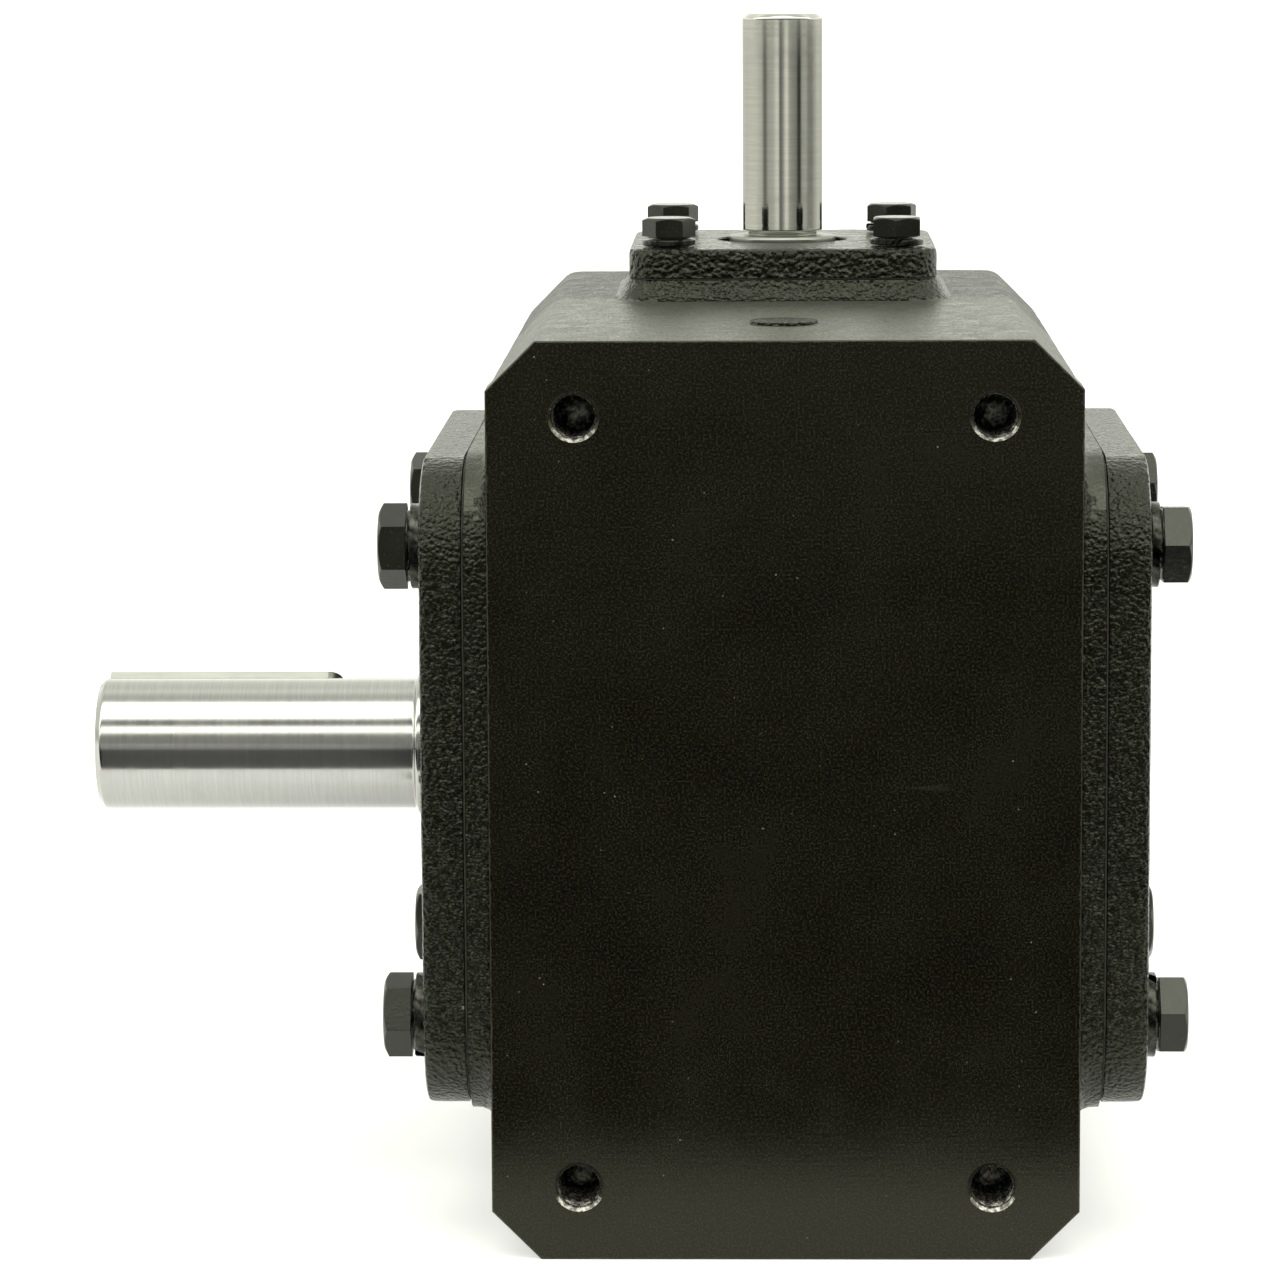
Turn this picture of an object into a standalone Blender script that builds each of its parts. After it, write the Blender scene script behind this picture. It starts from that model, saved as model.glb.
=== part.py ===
"""Single-reduction right-angle worm gearbox, built as an assembly of its separate pieces.

The origin is the centre of the machined mounting face. +X points right and +Y points into the
gearbox, as seen looking at that face, and +Z points up along the input shaft.
The output shaft leaves along -X.
Every length below is in millimetres; the helpers turn it into metres when they make a mesh.
"""

import math

import bmesh
import bpy
import numpy as np
from mathutils import Matrix

MM = 0.001
INCH = 25.4

# Gearing: one-start right-hand worm driving a throated bronze wheel.
MODULE = INCH / 6
WHEEL_TEETH = 30
WORM_PITCH_RADIUS = 0.75 * INCH
WHEEL_PITCH_RADIUS = MODULE * WHEEL_TEETH / 2
CENTRE_DISTANCE = WORM_PITCH_RADIUS + WHEEL_PITCH_RADIUS
AXIAL_PITCH = math.pi * MODULE
PRESSURE_ANGLE = math.radians(20)
WORM_TIP_RADIUS = WORM_PITCH_RADIUS + MODULE
WORM_ROOT_RADIUS = WORM_PITCH_RADIUS - 1.16 * MODULE
TIP_CLEARANCE = 0.8
FLANK_CLEARANCE = 0.25
THREAD_REACH = 31
WHEEL_HALF_WIDTH = 15
WHEEL_OUTER_RADIUS = 69.5
WHEEL_STATIONS = 5
FLANK_STATIONS = 3

# Clearances between pieces that touch on the real gearbox.
GAP = 0.3
THIN_GAP = 0.25

# Housing.
FACE_HALF_WIDTH = 74.6
FACE_HALF_HEIGHT = 117.2
HOUSING_DEPTH = 245
EDGE_CHAMFER = 12.5
WALL = 12.5
CAVITY_HALF_HEIGHT = 86
CAVITY_CORNER = 12
OUTPUT_Y = 86
OUTPUT_Z = 2
INPUT_Y = OUTPUT_Y + CENTRE_DISTANCE
MOUNT_HOLE_X = 52.5
MOUNT_HOLE_Z = 98.3
MOUNT_TAP_RADIUS = 5.4
MOUNT_SINK_RADIUS = 6.45
MOUNT_HOLE_DEPTH = 25
TOP_PAD_RADIUS = 8.8
TOP_PAD_Y = 52
TOP_PAD_HEIGHT = 0.8

# Side covers: distances from the gearbox's middle plane, outwards along the output axis.
SIDE_BOSS_FACE = 80.4
COVER_INNER_FACE = 81.3
COVER_OUTER_FACE = 92
COVER_SIDE = 167.6
COVER_CORNER = 25
COVER_EDGE_ROUND = 1.6
BOSS_LIP = 1.3
SIDE_OPENING_RADIUS = 72.6
PILOT_DEPTH = 8
COVER_HUB_RADIUS = 47
COVER_HUB_END = 60
COVER_BOLT_SQUARE = 60.9
COVER_BOLT_TIP = 67
SEAL_BORE_RADIUS = 1.125 * INCH + THIN_GAP
SEAL_FLOOR = 82.6

# Input bearing cap: heights above the origin.
CAP_SIDE = 84.2
CAP_CORNER = 9
CAP_BOSS_LIP = 2
CAP_BOSS_TOP = 122.8
CAP_BOTTOM = 123.45
CAP_TOP = 131.3
CAP_OPENING_RADIUS = 18
CAP_PILOT_END = 112
CAP_BOLT_SQUARE = 31.2
CAP_BOLT_TIP = 106
CAP_SEAL_RADIUS = 22
CAP_SEAL_TOP = CAP_TOP - 2
CAP_SEAL_BOTTOM = 120.3
CAP_RELIEF_RADIUS = 23.5
WORM_BORE_RADIUS = 29.9

# Plug and spring ring that close the worm's bore at the bottom: heights.
END_PLUG_TOP = -108
END_PLUG_RECESS = -110.5
END_PLUG_BOTTOM = -112.4
END_RING_TOP = -113
END_RING_BOTTOM = -114.5
END_RING_WIDTH = 4.2
END_RING_SEAT = 1.5

# Shafts.
OUTPUT_SHAFT_RADIUS = 1.375 * INCH / 2
OUTPUT_SHAFT_END = 183
OUTPUT_JOURNAL_RADIUS = 0.75 * INCH
OUTPUT_SHOULDER = 98.6
WHEEL_SEAT_RADIUS = 1.75 * INCH / 2
WHEEL_COLLAR_RADIUS = 28
WHEEL_COLLAR_END = 32
SHAFT_BODY_RADIUS = 25
RIM_SEAT_RADIUS = 53
HUB_HALF_LENGTH = 24
HUB_RADIUS = 34
HUB_WEB_RADIUS = 46
HUB_WEB_HALF_WIDTH = 7
INPUT_SHAFT_RADIUS = 0.875 * INCH / 2
INPUT_SHAFT_TOP = 194
INPUT_JOURNAL_RADIUS = 14.75
INPUT_JOURNAL_TOP = CAP_TOP + 1.2
WORM_BODY_RADIUS = 17
WORM_SHOULDER_RADIUS = 18.5
WORM_HALF_LENGTH = 40
KEY_ANGLE = math.radians(46)

# Keys: width, and the lengths along the shaft that they lie between.
OUTPUT_KEY = 0.3125 * INCH
OUTPUT_KEY_LOW = 119
OUTPUT_KEY_HIGH = 178
INPUT_KEY = 0.1875 * INCH
INPUT_KEY_LOW = 152
INPUT_KEY_HIGH = 190
WHEEL_KEY = 0.375 * INCH

# Tapered roller bearings: bore radius, outer radius, width.
OUTPUT_BEARING = (1.625 * INCH / 2, 2.891 * INCH / 2, 19.6)
WORM_BEARING = (1.25 * INCH / 2, 2.328 * INCH / 2, 15.9)
OUTPUT_BEARING_BACK = 80
UPPER_WORM_BEARING_BACK = 111.7
LOWER_WORM_BEARING_BACK = -107.7
ROLLERS_PER_BEARING = 10
ROLLER_TILT = math.radians(13)
ROLLER_TAPER = math.radians(2)

# Fasteners: shank radius, head across flats, head height, washer outer radius and thickness.
COVER_BOLT = (6.2, 19.05, 7.6, 10.9, 3.0)
CAP_BOLT = (3.85, 12.7, 5.5, 7.3, 2.0)
COVER_BOLT_TURNS = (4, 20, 11, 26, 18, 25, 7, 14)
CAP_BOLT_TURNS = (28, 2, 17, 9)
PIPE_PLUG_THREAD_RADIUS = 7.9
PIPE_PLUG_HEAD = (17.5, 8.0)
BACK_PLUGS = {"vent_plug": (42, 70), "level_plug": (-42, -6), "drain_plug": (0, -72)}

# Sides of round shapes.
FINE = 40
ROUND = 28
SMALL = 12
BOLT_SIDES = 8
THREAD_STEPS = 20

PAINT = ((0.018, 0.018, 0.017), 0.42, 0.0)
GROUND_STEEL = ((0.62, 0.62, 0.60), 0.22, 1.0)
BEARING_STEEL = ((0.70, 0.70, 0.70), 0.18, 1.0)
BLACK_OXIDE = ((0.045, 0.045, 0.045), 0.38, 0.8)
SPRING_STEEL = ((0.30, 0.30, 0.30), 0.35, 1.0)
BRONZE = ((0.62, 0.41, 0.17), 0.35, 1.0)
BARE_IRON = ((0.16, 0.16, 0.16), 0.60, 0.7)
RUBBER = ((0.012, 0.012, 0.012), 0.55, 0.0)
GASKET = ((0.10, 0.09, 0.07), 0.85, 0.0)

TOWARDS_OUTPUT = Matrix.Rotation(-math.pi / 2, 4, "Y")
AWAY_FROM_OUTPUT = Matrix.Rotation(math.pi / 2, 4, "Y")
INTO_HOUSING = Matrix.Rotation(-math.pi / 2, 4, "X")
OUT_OF_BACK = INTO_HOUSING
UPSIDE_DOWN = Matrix.Rotation(math.pi, 4, "X")
KEYWAY_BACKWARDS = Matrix.Rotation(math.pi / 2, 4, "Z")


def clear_scene():
    for obj in list(bpy.data.objects):
        bpy.data.objects.remove(obj, do_unlink=True)


def new_collection(name):
    collection = bpy.data.collections.new(name)
    bpy.context.scene.collection.children.link(collection)
    return collection


def place(x=0.0, y=0.0, z=0.0, turn=None):
    """World matrix at a point in millimetres, after an optional rotation."""
    matrix = Matrix.Translation((x * MM, y * MM, z * MM))
    return matrix if turn is None else matrix @ turn


def new_object(name, mesh):
    obj = bpy.data.objects.new(name, mesh)
    CUTTERS.objects.link(obj)
    obj.hide_render = True
    obj.display_type = "WIRE"
    return obj


def mesh_from(bm, name):
    mesh = bpy.data.meshes.new(name)
    bm.to_mesh(mesh)
    bm.free()
    return mesh


def edge_span(edge, axis):
    return abs(edge.verts[0].co[axis] - edge.verts[1].co[axis])


def block(name, low, high, corner=0.0, along="Z", steps=4):
    """Box between two corners, with the four edges along one axis rounded, or chamfered by one step."""
    bm = bmesh.new()
    centre = [(a + b) / 2 * MM for a, b in zip(low, high)]
    size = [(b - a) * MM for a, b in zip(low, high)]
    matrix = Matrix.Translation(centre) @ Matrix.Diagonal((*size, 1.0))
    bmesh.ops.create_cube(bm, size=1.0, matrix=matrix)
    if corner:
        axis = "XYZ".index(along)
        edges = [e for e in bm.edges if edge_span(e, axis) > size[axis] / 2]
        bmesh.ops.bevel(bm, geom=edges, offset=corner * MM, segments=steps, profile=0.5, affect="EDGES")
    return new_object(name, mesh_from(bm, name))


def ease_rim(obj, height, amount, steps=2):
    """Round the edges that lie all round a flat end face at the given local height."""
    bm = bmesh.new()
    bm.from_mesh(obj.data)
    edges = [e for e in bm.edges if all(abs(v.co.z - height * MM) < 1e-6 for v in e.verts)]
    bmesh.ops.bevel(bm, geom=edges, offset=amount * MM, segments=steps, profile=0.5, affect="EDGES")
    bm.to_mesh(obj.data)
    bm.free()
    return obj


def prism(name, radius, low, high, sides=SMALL, x=0.0, y=0.0, turn=0.0):
    """Upright cylinder or regular prism; turn is in degrees."""
    bm = bmesh.new()
    matrix = place(x, y, (low + high) / 2, Matrix.Rotation(math.radians(turn), 4, "Z"))
    bmesh.ops.create_cone(bm, cap_ends=True, segments=sides, radius1=radius * MM, radius2=radius * MM,
                          depth=(high - low) * MM, matrix=matrix)
    return new_object(name, mesh_from(bm, name))


def turned(name, outside, inside=None, steps=ROUND):
    """Lathe a profile of (radius, height) points about local Z.

    outside runs down the outer surface from top to bottom. inside, for a ring, runs back up its bore.
    """
    points = list(outside) + list(inside or [])
    mesh = bpy.data.meshes.new(name)
    edges = [(i, i + 1) for i in range(len(points) - 1)]
    if inside:
        edges.append((len(points) - 1, 0))
    mesh.from_pydata([(r * MM, 0.0, h * MM) for r, h in points], edges, [])
    obj = new_object(name, mesh)
    screw = obj.modifiers.new("lathe", "SCREW")
    screw.steps = steps
    screw.render_steps = steps
    screw.use_merge_vertices = True
    screw.merge_threshold = 0.000001
    return baked(obj)


def baked(obj):
    """Swap an object's mesh for its evaluated one, so that it can be shared and combined."""
    graph = bpy.context.evaluated_depsgraph_get()
    mesh = bpy.data.meshes.new_from_object(obj.evaluated_get(graph))
    mesh.name = obj.name
    obj.modifiers.clear()
    obj.data = mesh
    return obj


def combine(obj, tool, operation):
    modifier = obj.modifiers.new(tool.name, "BOOLEAN")
    modifier.operation = operation
    modifier.solver = "EXACT"
    modifier.object = tool
    return obj


def cut(obj, *tools):
    for tool in tools:
        combine(obj, tool, "DIFFERENCE")
    return obj


def join(obj, *tools):
    for tool in tools:
        combine(obj, tool, "UNION")
    return obj


def at(obj, matrix):
    obj.matrix_world = matrix
    return obj


def new_material(name, look):
    colour, roughness, metallic = look
    material = bpy.data.materials.new(name)
    material.use_nodes = True
    shader = material.node_tree.nodes["Principled BSDF"]
    shader.inputs["Base Color"].default_value = (*colour, 1.0)
    shader.inputs["Roughness"].default_value = roughness
    shader.inputs["Metallic"].default_value = metallic
    material.diffuse_color = (*colour, 1.0)
    return material


def part(obj, look, parent=None, local=None):
    """Move a finished shape from the cutters to the gearbox, with its material and smooth shading.

    local is its matrix in the parent's space.
    """
    baked(obj)
    CUTTERS.objects.unlink(obj)
    GEARBOX.objects.link(obj)
    obj.hide_render = False
    obj.display_type = "TEXTURED"
    obj.data.materials.clear()
    obj.data.materials.append(new_material(obj.name + "_finish", look))
    obj.data.shade_smooth()
    obj.data.set_sharp_from_angle(angle=math.radians(35))
    if parent:
        obj.parent = parent
    if local:
        obj.matrix_basis = local
    return obj


def copy_part(source, name, matrix):
    """Another piece with the same mesh and material as source, placed by its own matrix."""
    obj = bpy.data.objects.new(name, source.data)
    GEARBOX.objects.link(obj)
    obj.matrix_world = matrix
    return obj


def axis_empty(name, matrix):
    empty = bpy.data.objects.new(name, None)
    empty.empty_display_size = 0.05
    GEARBOX.objects.link(empty)
    empty.matrix_world = matrix
    return empty


# ---------------------------------------------------------------- housing


def mounting_hole(name, x, z):
    """Tapped hole with a countersunk mouth, opening at the mounting face."""
    sink = MOUNT_SINK_RADIUS - MOUNT_TAP_RADIUS
    profile = [
        (0, MOUNT_HOLE_DEPTH + 3),
        (MOUNT_TAP_RADIUS, MOUNT_HOLE_DEPTH),
        (MOUNT_TAP_RADIUS, sink),
        (MOUNT_SINK_RADIUS, 0),
        (MOUNT_SINK_RADIUS + 1, -1),
        (0, -1),
    ]
    hole = turned(name, profile, steps=SMALL)
    return at(hole, place(x, 0, z, INTO_HOUSING))


def worm_bore():
    """Straight bore for both worm bearings, with the retaining ring's groove near its lower end."""
    groove = WORM_BORE_RADIUS + END_RING_SEAT + GAP
    profile = [
        (0, CAP_BOSS_TOP + 5),
        (WORM_BORE_RADIUS, CAP_BOSS_TOP + 5),
        (WORM_BORE_RADIUS, END_RING_TOP + GAP),
        (groove, END_RING_TOP + GAP),
        (groove, END_RING_BOTTOM - GAP),
        (WORM_BORE_RADIUS, END_RING_BOTTOM - GAP),
        (WORM_BORE_RADIUS, -FACE_HALF_HEIGHT - 5),
        (0, -FACE_HALF_HEIGHT - 5),
    ]
    return at(turned("worm_bore", profile, steps=FINE), place(0, INPUT_Y, 0))


def side_frames():
    """The two sides of the output axis: name, and the matrix that points local +Z outwards."""
    return (
        ("output", place(0, OUTPUT_Y, OUTPUT_Z, TOWARDS_OUTPUT)),
        ("blind", place(0, OUTPUT_Y, OUTPUT_Z, AWAY_FROM_OUTPUT)),
    )


def square_corners(half):
    return [(half, -half), (-half, -half), (half, half), (-half, half)]


def housing():
    body = block(
        "housing",
        (-FACE_HALF_WIDTH, 0, -FACE_HALF_HEIGHT),
        (FACE_HALF_WIDTH, HOUSING_DEPTH, FACE_HALF_HEIGHT),
        corner=EDGE_CHAMFER, along="Y", steps=1,
    )
    half = COVER_SIDE / 2 + BOSS_LIP
    side_bosses = block(
        "side_bosses",
        (-SIDE_BOSS_FACE, OUTPUT_Y - half, OUTPUT_Z - half),
        (SIDE_BOSS_FACE, OUTPUT_Y + half, OUTPUT_Z + half),
        corner=COVER_CORNER + BOSS_LIP, along="X",
    )
    half = CAP_SIDE / 2 + CAP_BOSS_LIP
    cap_boss = block(
        "cap_boss",
        (-half, INPUT_Y - half, FACE_HALF_HEIGHT - 5),
        (half, INPUT_Y + half, CAP_BOSS_TOP),
        corner=CAP_CORNER + CAP_BOSS_LIP, along="Z", steps=3,
    )
    top_pad = prism("top_pad", TOP_PAD_RADIUS, FACE_HALF_HEIGHT - 2, FACE_HALF_HEIGHT + TOP_PAD_HEIGHT,
                    sides=ROUND, y=TOP_PAD_Y)
    join(body, side_bosses, cap_boss, top_pad)

    cavity = block(
        "cavity",
        (-FACE_HALF_WIDTH + WALL, WALL, -CAVITY_HALF_HEIGHT),
        (FACE_HALF_WIDTH - WALL, HOUSING_DEPTH - WALL, CAVITY_HALF_HEIGHT),
        corner=CAVITY_CORNER, along="X", steps=2,
    )
    opening = prism("side_opening", SIDE_OPENING_RADIUS, -SIDE_BOSS_FACE - 5, SIDE_BOSS_FACE + 5, FINE)
    at(opening, place(0, OUTPUT_Y, OUTPUT_Z, TOWARDS_OUTPUT))
    cut(body, cavity, opening, worm_bore())

    for row, z in (("upper", MOUNT_HOLE_Z), ("lower", -MOUNT_HOLE_Z)):
        for side, x in (("left", -MOUNT_HOLE_X), ("right", MOUNT_HOLE_X)):
            cut(body, mounting_hole(f"mount_hole_{row}_{side}", x, z))
    for side, frame in side_frames():
        for number, (x, y) in enumerate(square_corners(COVER_BOLT_SQUARE), 1):
            hole = prism(f"{side}_bolt_hole_{number}", COVER_BOLT[0] + GAP, COVER_BOLT_TIP - 1.5,
                         SIDE_BOSS_FACE + 5, x=x, y=y)
            cut(body, at(hole, frame))
    for number, (x, y) in enumerate(square_corners(CAP_BOLT_SQUARE), 1):
        hole = prism(f"cap_bolt_hole_{number}", CAP_BOLT[0] + GAP, CAP_BOLT_TIP - 1.5,
                     CAP_BOSS_TOP + 5, x=x, y=y)
        cut(body, at(hole, place(0, INPUT_Y, 0)))
    for name, (x, z) in BACK_PLUGS.items():
        hole = prism(name + "_hole", PIPE_PLUG_THREAD_RADIUS + GAP, -WALL - 5, 5)
        cut(body, at(hole, place(x, HOUSING_DEPTH, z, OUT_OF_BACK)))
    part(body, PAINT)


# ---------------------------------------------------------------- covers, cap, gaskets and seals


def bolt_holes(name, radius, square, low, high):
    return [prism(f"{name}_hole_{n}", radius, low, high, x=x, y=y)
            for n, (x, y) in enumerate(square_corners(square), 1)]


def cover(side, frame):
    """Square cover whose pilot fits the housing's side opening and whose hub holds a bearing cup."""
    half = COVER_SIDE / 2
    plate = block(f"{side}_side_cover", (-half, -half, COVER_INNER_FACE), (half, half, COVER_OUTER_FACE),
                  corner=COVER_CORNER)
    ease_rim(plate, COVER_OUTER_FACE, COVER_EDGE_ROUND)
    pilot_end = COVER_INNER_FACE - PILOT_DEPTH
    hub = turned(f"{side}_cover_hub", [
        (0, COVER_INNER_FACE + 3),
        (SIDE_OPENING_RADIUS - GAP, COVER_INNER_FACE + 3),
        (SIDE_OPENING_RADIUS - GAP, pilot_end),
        (COVER_HUB_RADIUS, pilot_end),
        (COVER_HUB_RADIUS, COVER_HUB_END),
        (0, COVER_HUB_END),
    ], steps=FINE)
    pocket_radius = OUTPUT_BEARING[1] + THIN_GAP
    pocket_floor = OUTPUT_BEARING_BACK + GAP
    if side == "output":
        outer_steps = [
            (0, COVER_OUTER_FACE + 1),
            (SEAL_BORE_RADIUS, COVER_OUTER_FACE + 1),
            (SEAL_BORE_RADIUS, SEAL_FLOOR),
            (SEAL_BORE_RADIUS - 4, SEAL_FLOOR),
            (SEAL_BORE_RADIUS - 4, pocket_floor),
        ]
    else:
        outer_steps = [
            (0, pocket_floor + 4),
            (SEAL_BORE_RADIUS, pocket_floor + 4),
            (SEAL_BORE_RADIUS, pocket_floor),
        ]
    pocket = turned(f"{side}_cover_pocket", outer_steps + [
        (pocket_radius, pocket_floor),
        (pocket_radius, COVER_HUB_END - 1),
        (0, COVER_HUB_END - 1),
    ], steps=FINE)
    holes = bolt_holes(f"{side}_cover", COVER_BOLT[0] + GAP, COVER_BOLT_SQUARE, COVER_INNER_FACE - 1,
                       COVER_OUTER_FACE + 1)
    cut(join(plate, hub), pocket, *holes)
    at(part(plate, PAINT), frame)


def cover_gasket(side, frame):
    half = COVER_SIDE / 2 - 0.4
    low = SIDE_BOSS_FACE + THIN_GAP
    high = COVER_INNER_FACE - THIN_GAP
    sheet = block(f"{side}_cover_gasket", (-half, -half, low), (half, half, high),
                  corner=COVER_CORNER - 0.4)
    opening = prism(f"{side}_gasket_opening", SIDE_OPENING_RADIUS, low - 1, high + 1, FINE)
    holes = bolt_holes(f"{side}_gasket", COVER_BOLT[0] + GAP, COVER_BOLT_SQUARE, low - 1, high + 1)
    at(part(cut(sheet, opening, *holes), GASKET), frame)


def input_cap(frame):
    """Square bearing cap with the input shaft's opening, the seal's bore and a pilot that holds the cup."""
    half = CAP_SIDE / 2
    plate = block("input_bearing_cap", (-half, -half, CAP_BOTTOM), (half, half, CAP_TOP),
                  corner=CAP_CORNER, steps=3)
    ease_rim(plate, CAP_TOP, 1.0)
    pilot = prism("cap_pilot", WORM_BORE_RADIUS - GAP, CAP_PILOT_END, CAP_BOTTOM + 3, FINE)
    bore = turned("cap_bore", [
        (0, CAP_TOP + 1),
        (CAP_OPENING_RADIUS, CAP_TOP + 1),
        (CAP_OPENING_RADIUS, CAP_SEAL_TOP),
        (CAP_SEAL_RADIUS + THIN_GAP, CAP_SEAL_TOP),
        (CAP_SEAL_RADIUS + THIN_GAP, CAP_SEAL_BOTTOM - GAP),
        (CAP_RELIEF_RADIUS, CAP_SEAL_BOTTOM - GAP),
        (CAP_RELIEF_RADIUS, CAP_PILOT_END - 1),
        (0, CAP_PILOT_END - 1),
    ], steps=FINE)
    holes = bolt_holes("cap", CAP_BOLT[0] + GAP, CAP_BOLT_SQUARE, CAP_BOTTOM - 1, CAP_TOP + 1)
    at(part(cut(join(plate, pilot), bore, *holes), PAINT), frame)

    low = CAP_SEAL_BOTTOM
    lip = INPUT_JOURNAL_RADIUS + GAP
    seal = turned("input_oil_seal", [
        (CAP_SEAL_RADIUS, CAP_SEAL_TOP - GAP),
        (CAP_SEAL_RADIUS, low),
    ], [
        (CAP_SEAL_RADIUS - 3.5, low),
        (lip, low + 1.2),
        (lip, low + 3.2),
        (lip + 1.2, low + 4.7),
        (lip + 0.2, low + 7.2),
        (lip + 0.2, CAP_SEAL_TOP - GAP),
    ])
    at(part(seal, RUBBER), frame)


def input_cap_gasket(frame):
    half = CAP_SIDE / 2 - 0.3
    low = CAP_BOSS_TOP + GAP / 2
    high = CAP_BOTTOM - GAP / 2
    sheet = block("input_cap_gasket", (-half, -half, low), (half, half, high),
                  corner=CAP_CORNER - 0.3, steps=3)
    opening = prism("cap_gasket_opening", WORM_BORE_RADIUS, low - 1, high + 1, FINE)
    holes = bolt_holes("cap_gasket", CAP_BOLT[0] + GAP, CAP_BOLT_SQUARE, low - 1, high + 1)
    at(part(cut(sheet, opening, *holes), GASKET), frame)


def output_seal(frame):
    outer = SEAL_BORE_RADIUS - THIN_GAP
    low = SEAL_FLOOR + GAP
    high = COVER_OUTER_FACE - GAP
    lip = OUTPUT_JOURNAL_RADIUS + GAP
    seal = turned("output_oil_seal", [
        (outer, high),
        (outer, low),
    ], [
        (outer - 4, low),
        (lip, low + 1.2),
        (lip, low + 3.2),
        (lip + 1.5, low + 5),
        (lip + 0.3, high),
    ])
    at(part(seal, RUBBER), frame)


def worm_end_closure():
    """Plug that closes the lower end of the worm's bore, and the spring ring that keeps it in."""
    radius = WORM_BORE_RADIUS - GAP
    plug = turned("worm_end_plug", [
        (0, END_PLUG_RECESS),
        (radius - 6, END_PLUG_RECESS),
        (radius - 6, END_PLUG_TOP),
        (radius, END_PLUG_TOP),
        (radius, END_PLUG_BOTTOM),
        (0, END_PLUG_BOTTOM),
    ])
    at(part(plug, SPRING_STEEL), place(0, INPUT_Y, 0))
    outer = WORM_BORE_RADIUS + END_RING_SEAT
    inner = outer - END_RING_WIDTH
    ring = turned("end_plug_retaining_ring", [
        (outer, END_RING_TOP),
        (outer, END_RING_BOTTOM),
    ], [
        (inner, END_RING_BOTTOM),
        (inner, END_RING_TOP),
    ])
    opening = block("ring_opening", (-5, inner - 2, END_RING_BOTTOM - 1), (5, outer + 2, END_RING_TOP + 1))
    at(part(cut(ring, opening), SPRING_STEEL), place(0, INPUT_Y, 0))


# ---------------------------------------------------------------- fasteners


def hex_bolt(name, size, head_base, tip, look):
    shank_radius, flats, head_height = size[:3]
    head = prism(name, flats / math.sqrt(3), head_base, head_base + head_height, 6)
    shank = prism(name + "_shank", shank_radius, tip, head_base + 1, BOLT_SIDES)
    return part(join(head, shank), look)


def lock_washer(name, size, base, look):
    """Split spring washer; the slanting slit leaves its ends apart."""
    shank_radius, _, _, outer, thickness = size
    inner = shank_radius + 0.4
    top = base + thickness
    ring = turned(name, [(outer, top), (outer, base)], [(inner, base), (inner, top)], steps=SMALL)
    slit = block(name + "_slit", (inner - 2, -0.7, -thickness), (outer + 2, 0.7, thickness))
    at(slit, place(0, 0, base + thickness / 2, Matrix.Rotation(math.radians(25), 4, "X")))
    return part(cut(ring, slit), look)


def bolt_set(prefix, frame, square, turns, bolt, washer):
    """A bolt and its lock washer at each corner of a square, each stopped at its own angle."""
    for number, ((x, y), turn) in enumerate(zip(square_corners(square), turns), 1):
        spin = Matrix.Rotation(math.radians(turn), 4, "Z")
        matrix = frame @ place(x, y, 0, spin)
        copy_part(bolt, f"{prefix}_bolt_{number}", matrix)
        slit_turn = Matrix.Rotation(math.radians(turn * 7 + 40), 4, "Z")
        copy_part(washer, f"{prefix}_lock_washer_{number}", frame @ place(x, y, 0, slit_turn))


def fasteners():
    washer_base = COVER_OUTER_FACE + THIN_GAP
    head_base = washer_base + COVER_BOLT[4] + THIN_GAP
    bolt = hex_bolt("cover_bolt", COVER_BOLT, head_base, COVER_BOLT_TIP, BLACK_OXIDE)
    washer = lock_washer("cover_lock_washer", COVER_BOLT, washer_base, SPRING_STEEL)
    for (side, frame), turns in zip(side_frames(), (COVER_BOLT_TURNS[:4], COVER_BOLT_TURNS[4:])):
        bolt_set(f"{side}_cover", frame, COVER_BOLT_SQUARE, turns, bolt, washer)
    washer_base = CAP_TOP + THIN_GAP
    head_base = washer_base + CAP_BOLT[4] + THIN_GAP
    cap_bolt = hex_bolt("cap_bolt", CAP_BOLT, head_base, CAP_BOLT_TIP, BLACK_OXIDE)
    cap_washer = lock_washer("cap_lock_washer", CAP_BOLT, washer_base, SPRING_STEEL)
    bolt_set("cap", place(0, INPUT_Y, 0), CAP_BOLT_SQUARE, CAP_BOLT_TURNS, cap_bolt, cap_washer)
    for pattern in (bolt, washer, cap_bolt, cap_washer):
        bpy.data.objects.remove(pattern)


def pipe_plugs():
    """Hex-headed pipe plugs that close the back wall's oil holes."""
    flats, height = PIPE_PLUG_HEAD
    for name, (x, z) in BACK_PLUGS.items():
        head = prism(name, flats / math.sqrt(3), GAP, height, 6)
        thread = turned(name + "_thread", [
            (0, 2),
            (PIPE_PLUG_THREAD_RADIUS, 2),
            (PIPE_PLUG_THREAD_RADIUS - 0.5, -WALL + 2),
            (0, -WALL + 2),
        ], steps=SMALL)
        at(part(join(head, thread), BLACK_OXIDE), place(x, HOUSING_DEPTH, z, OUT_OF_BACK))


# ---------------------------------------------------------------- bearings


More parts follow.
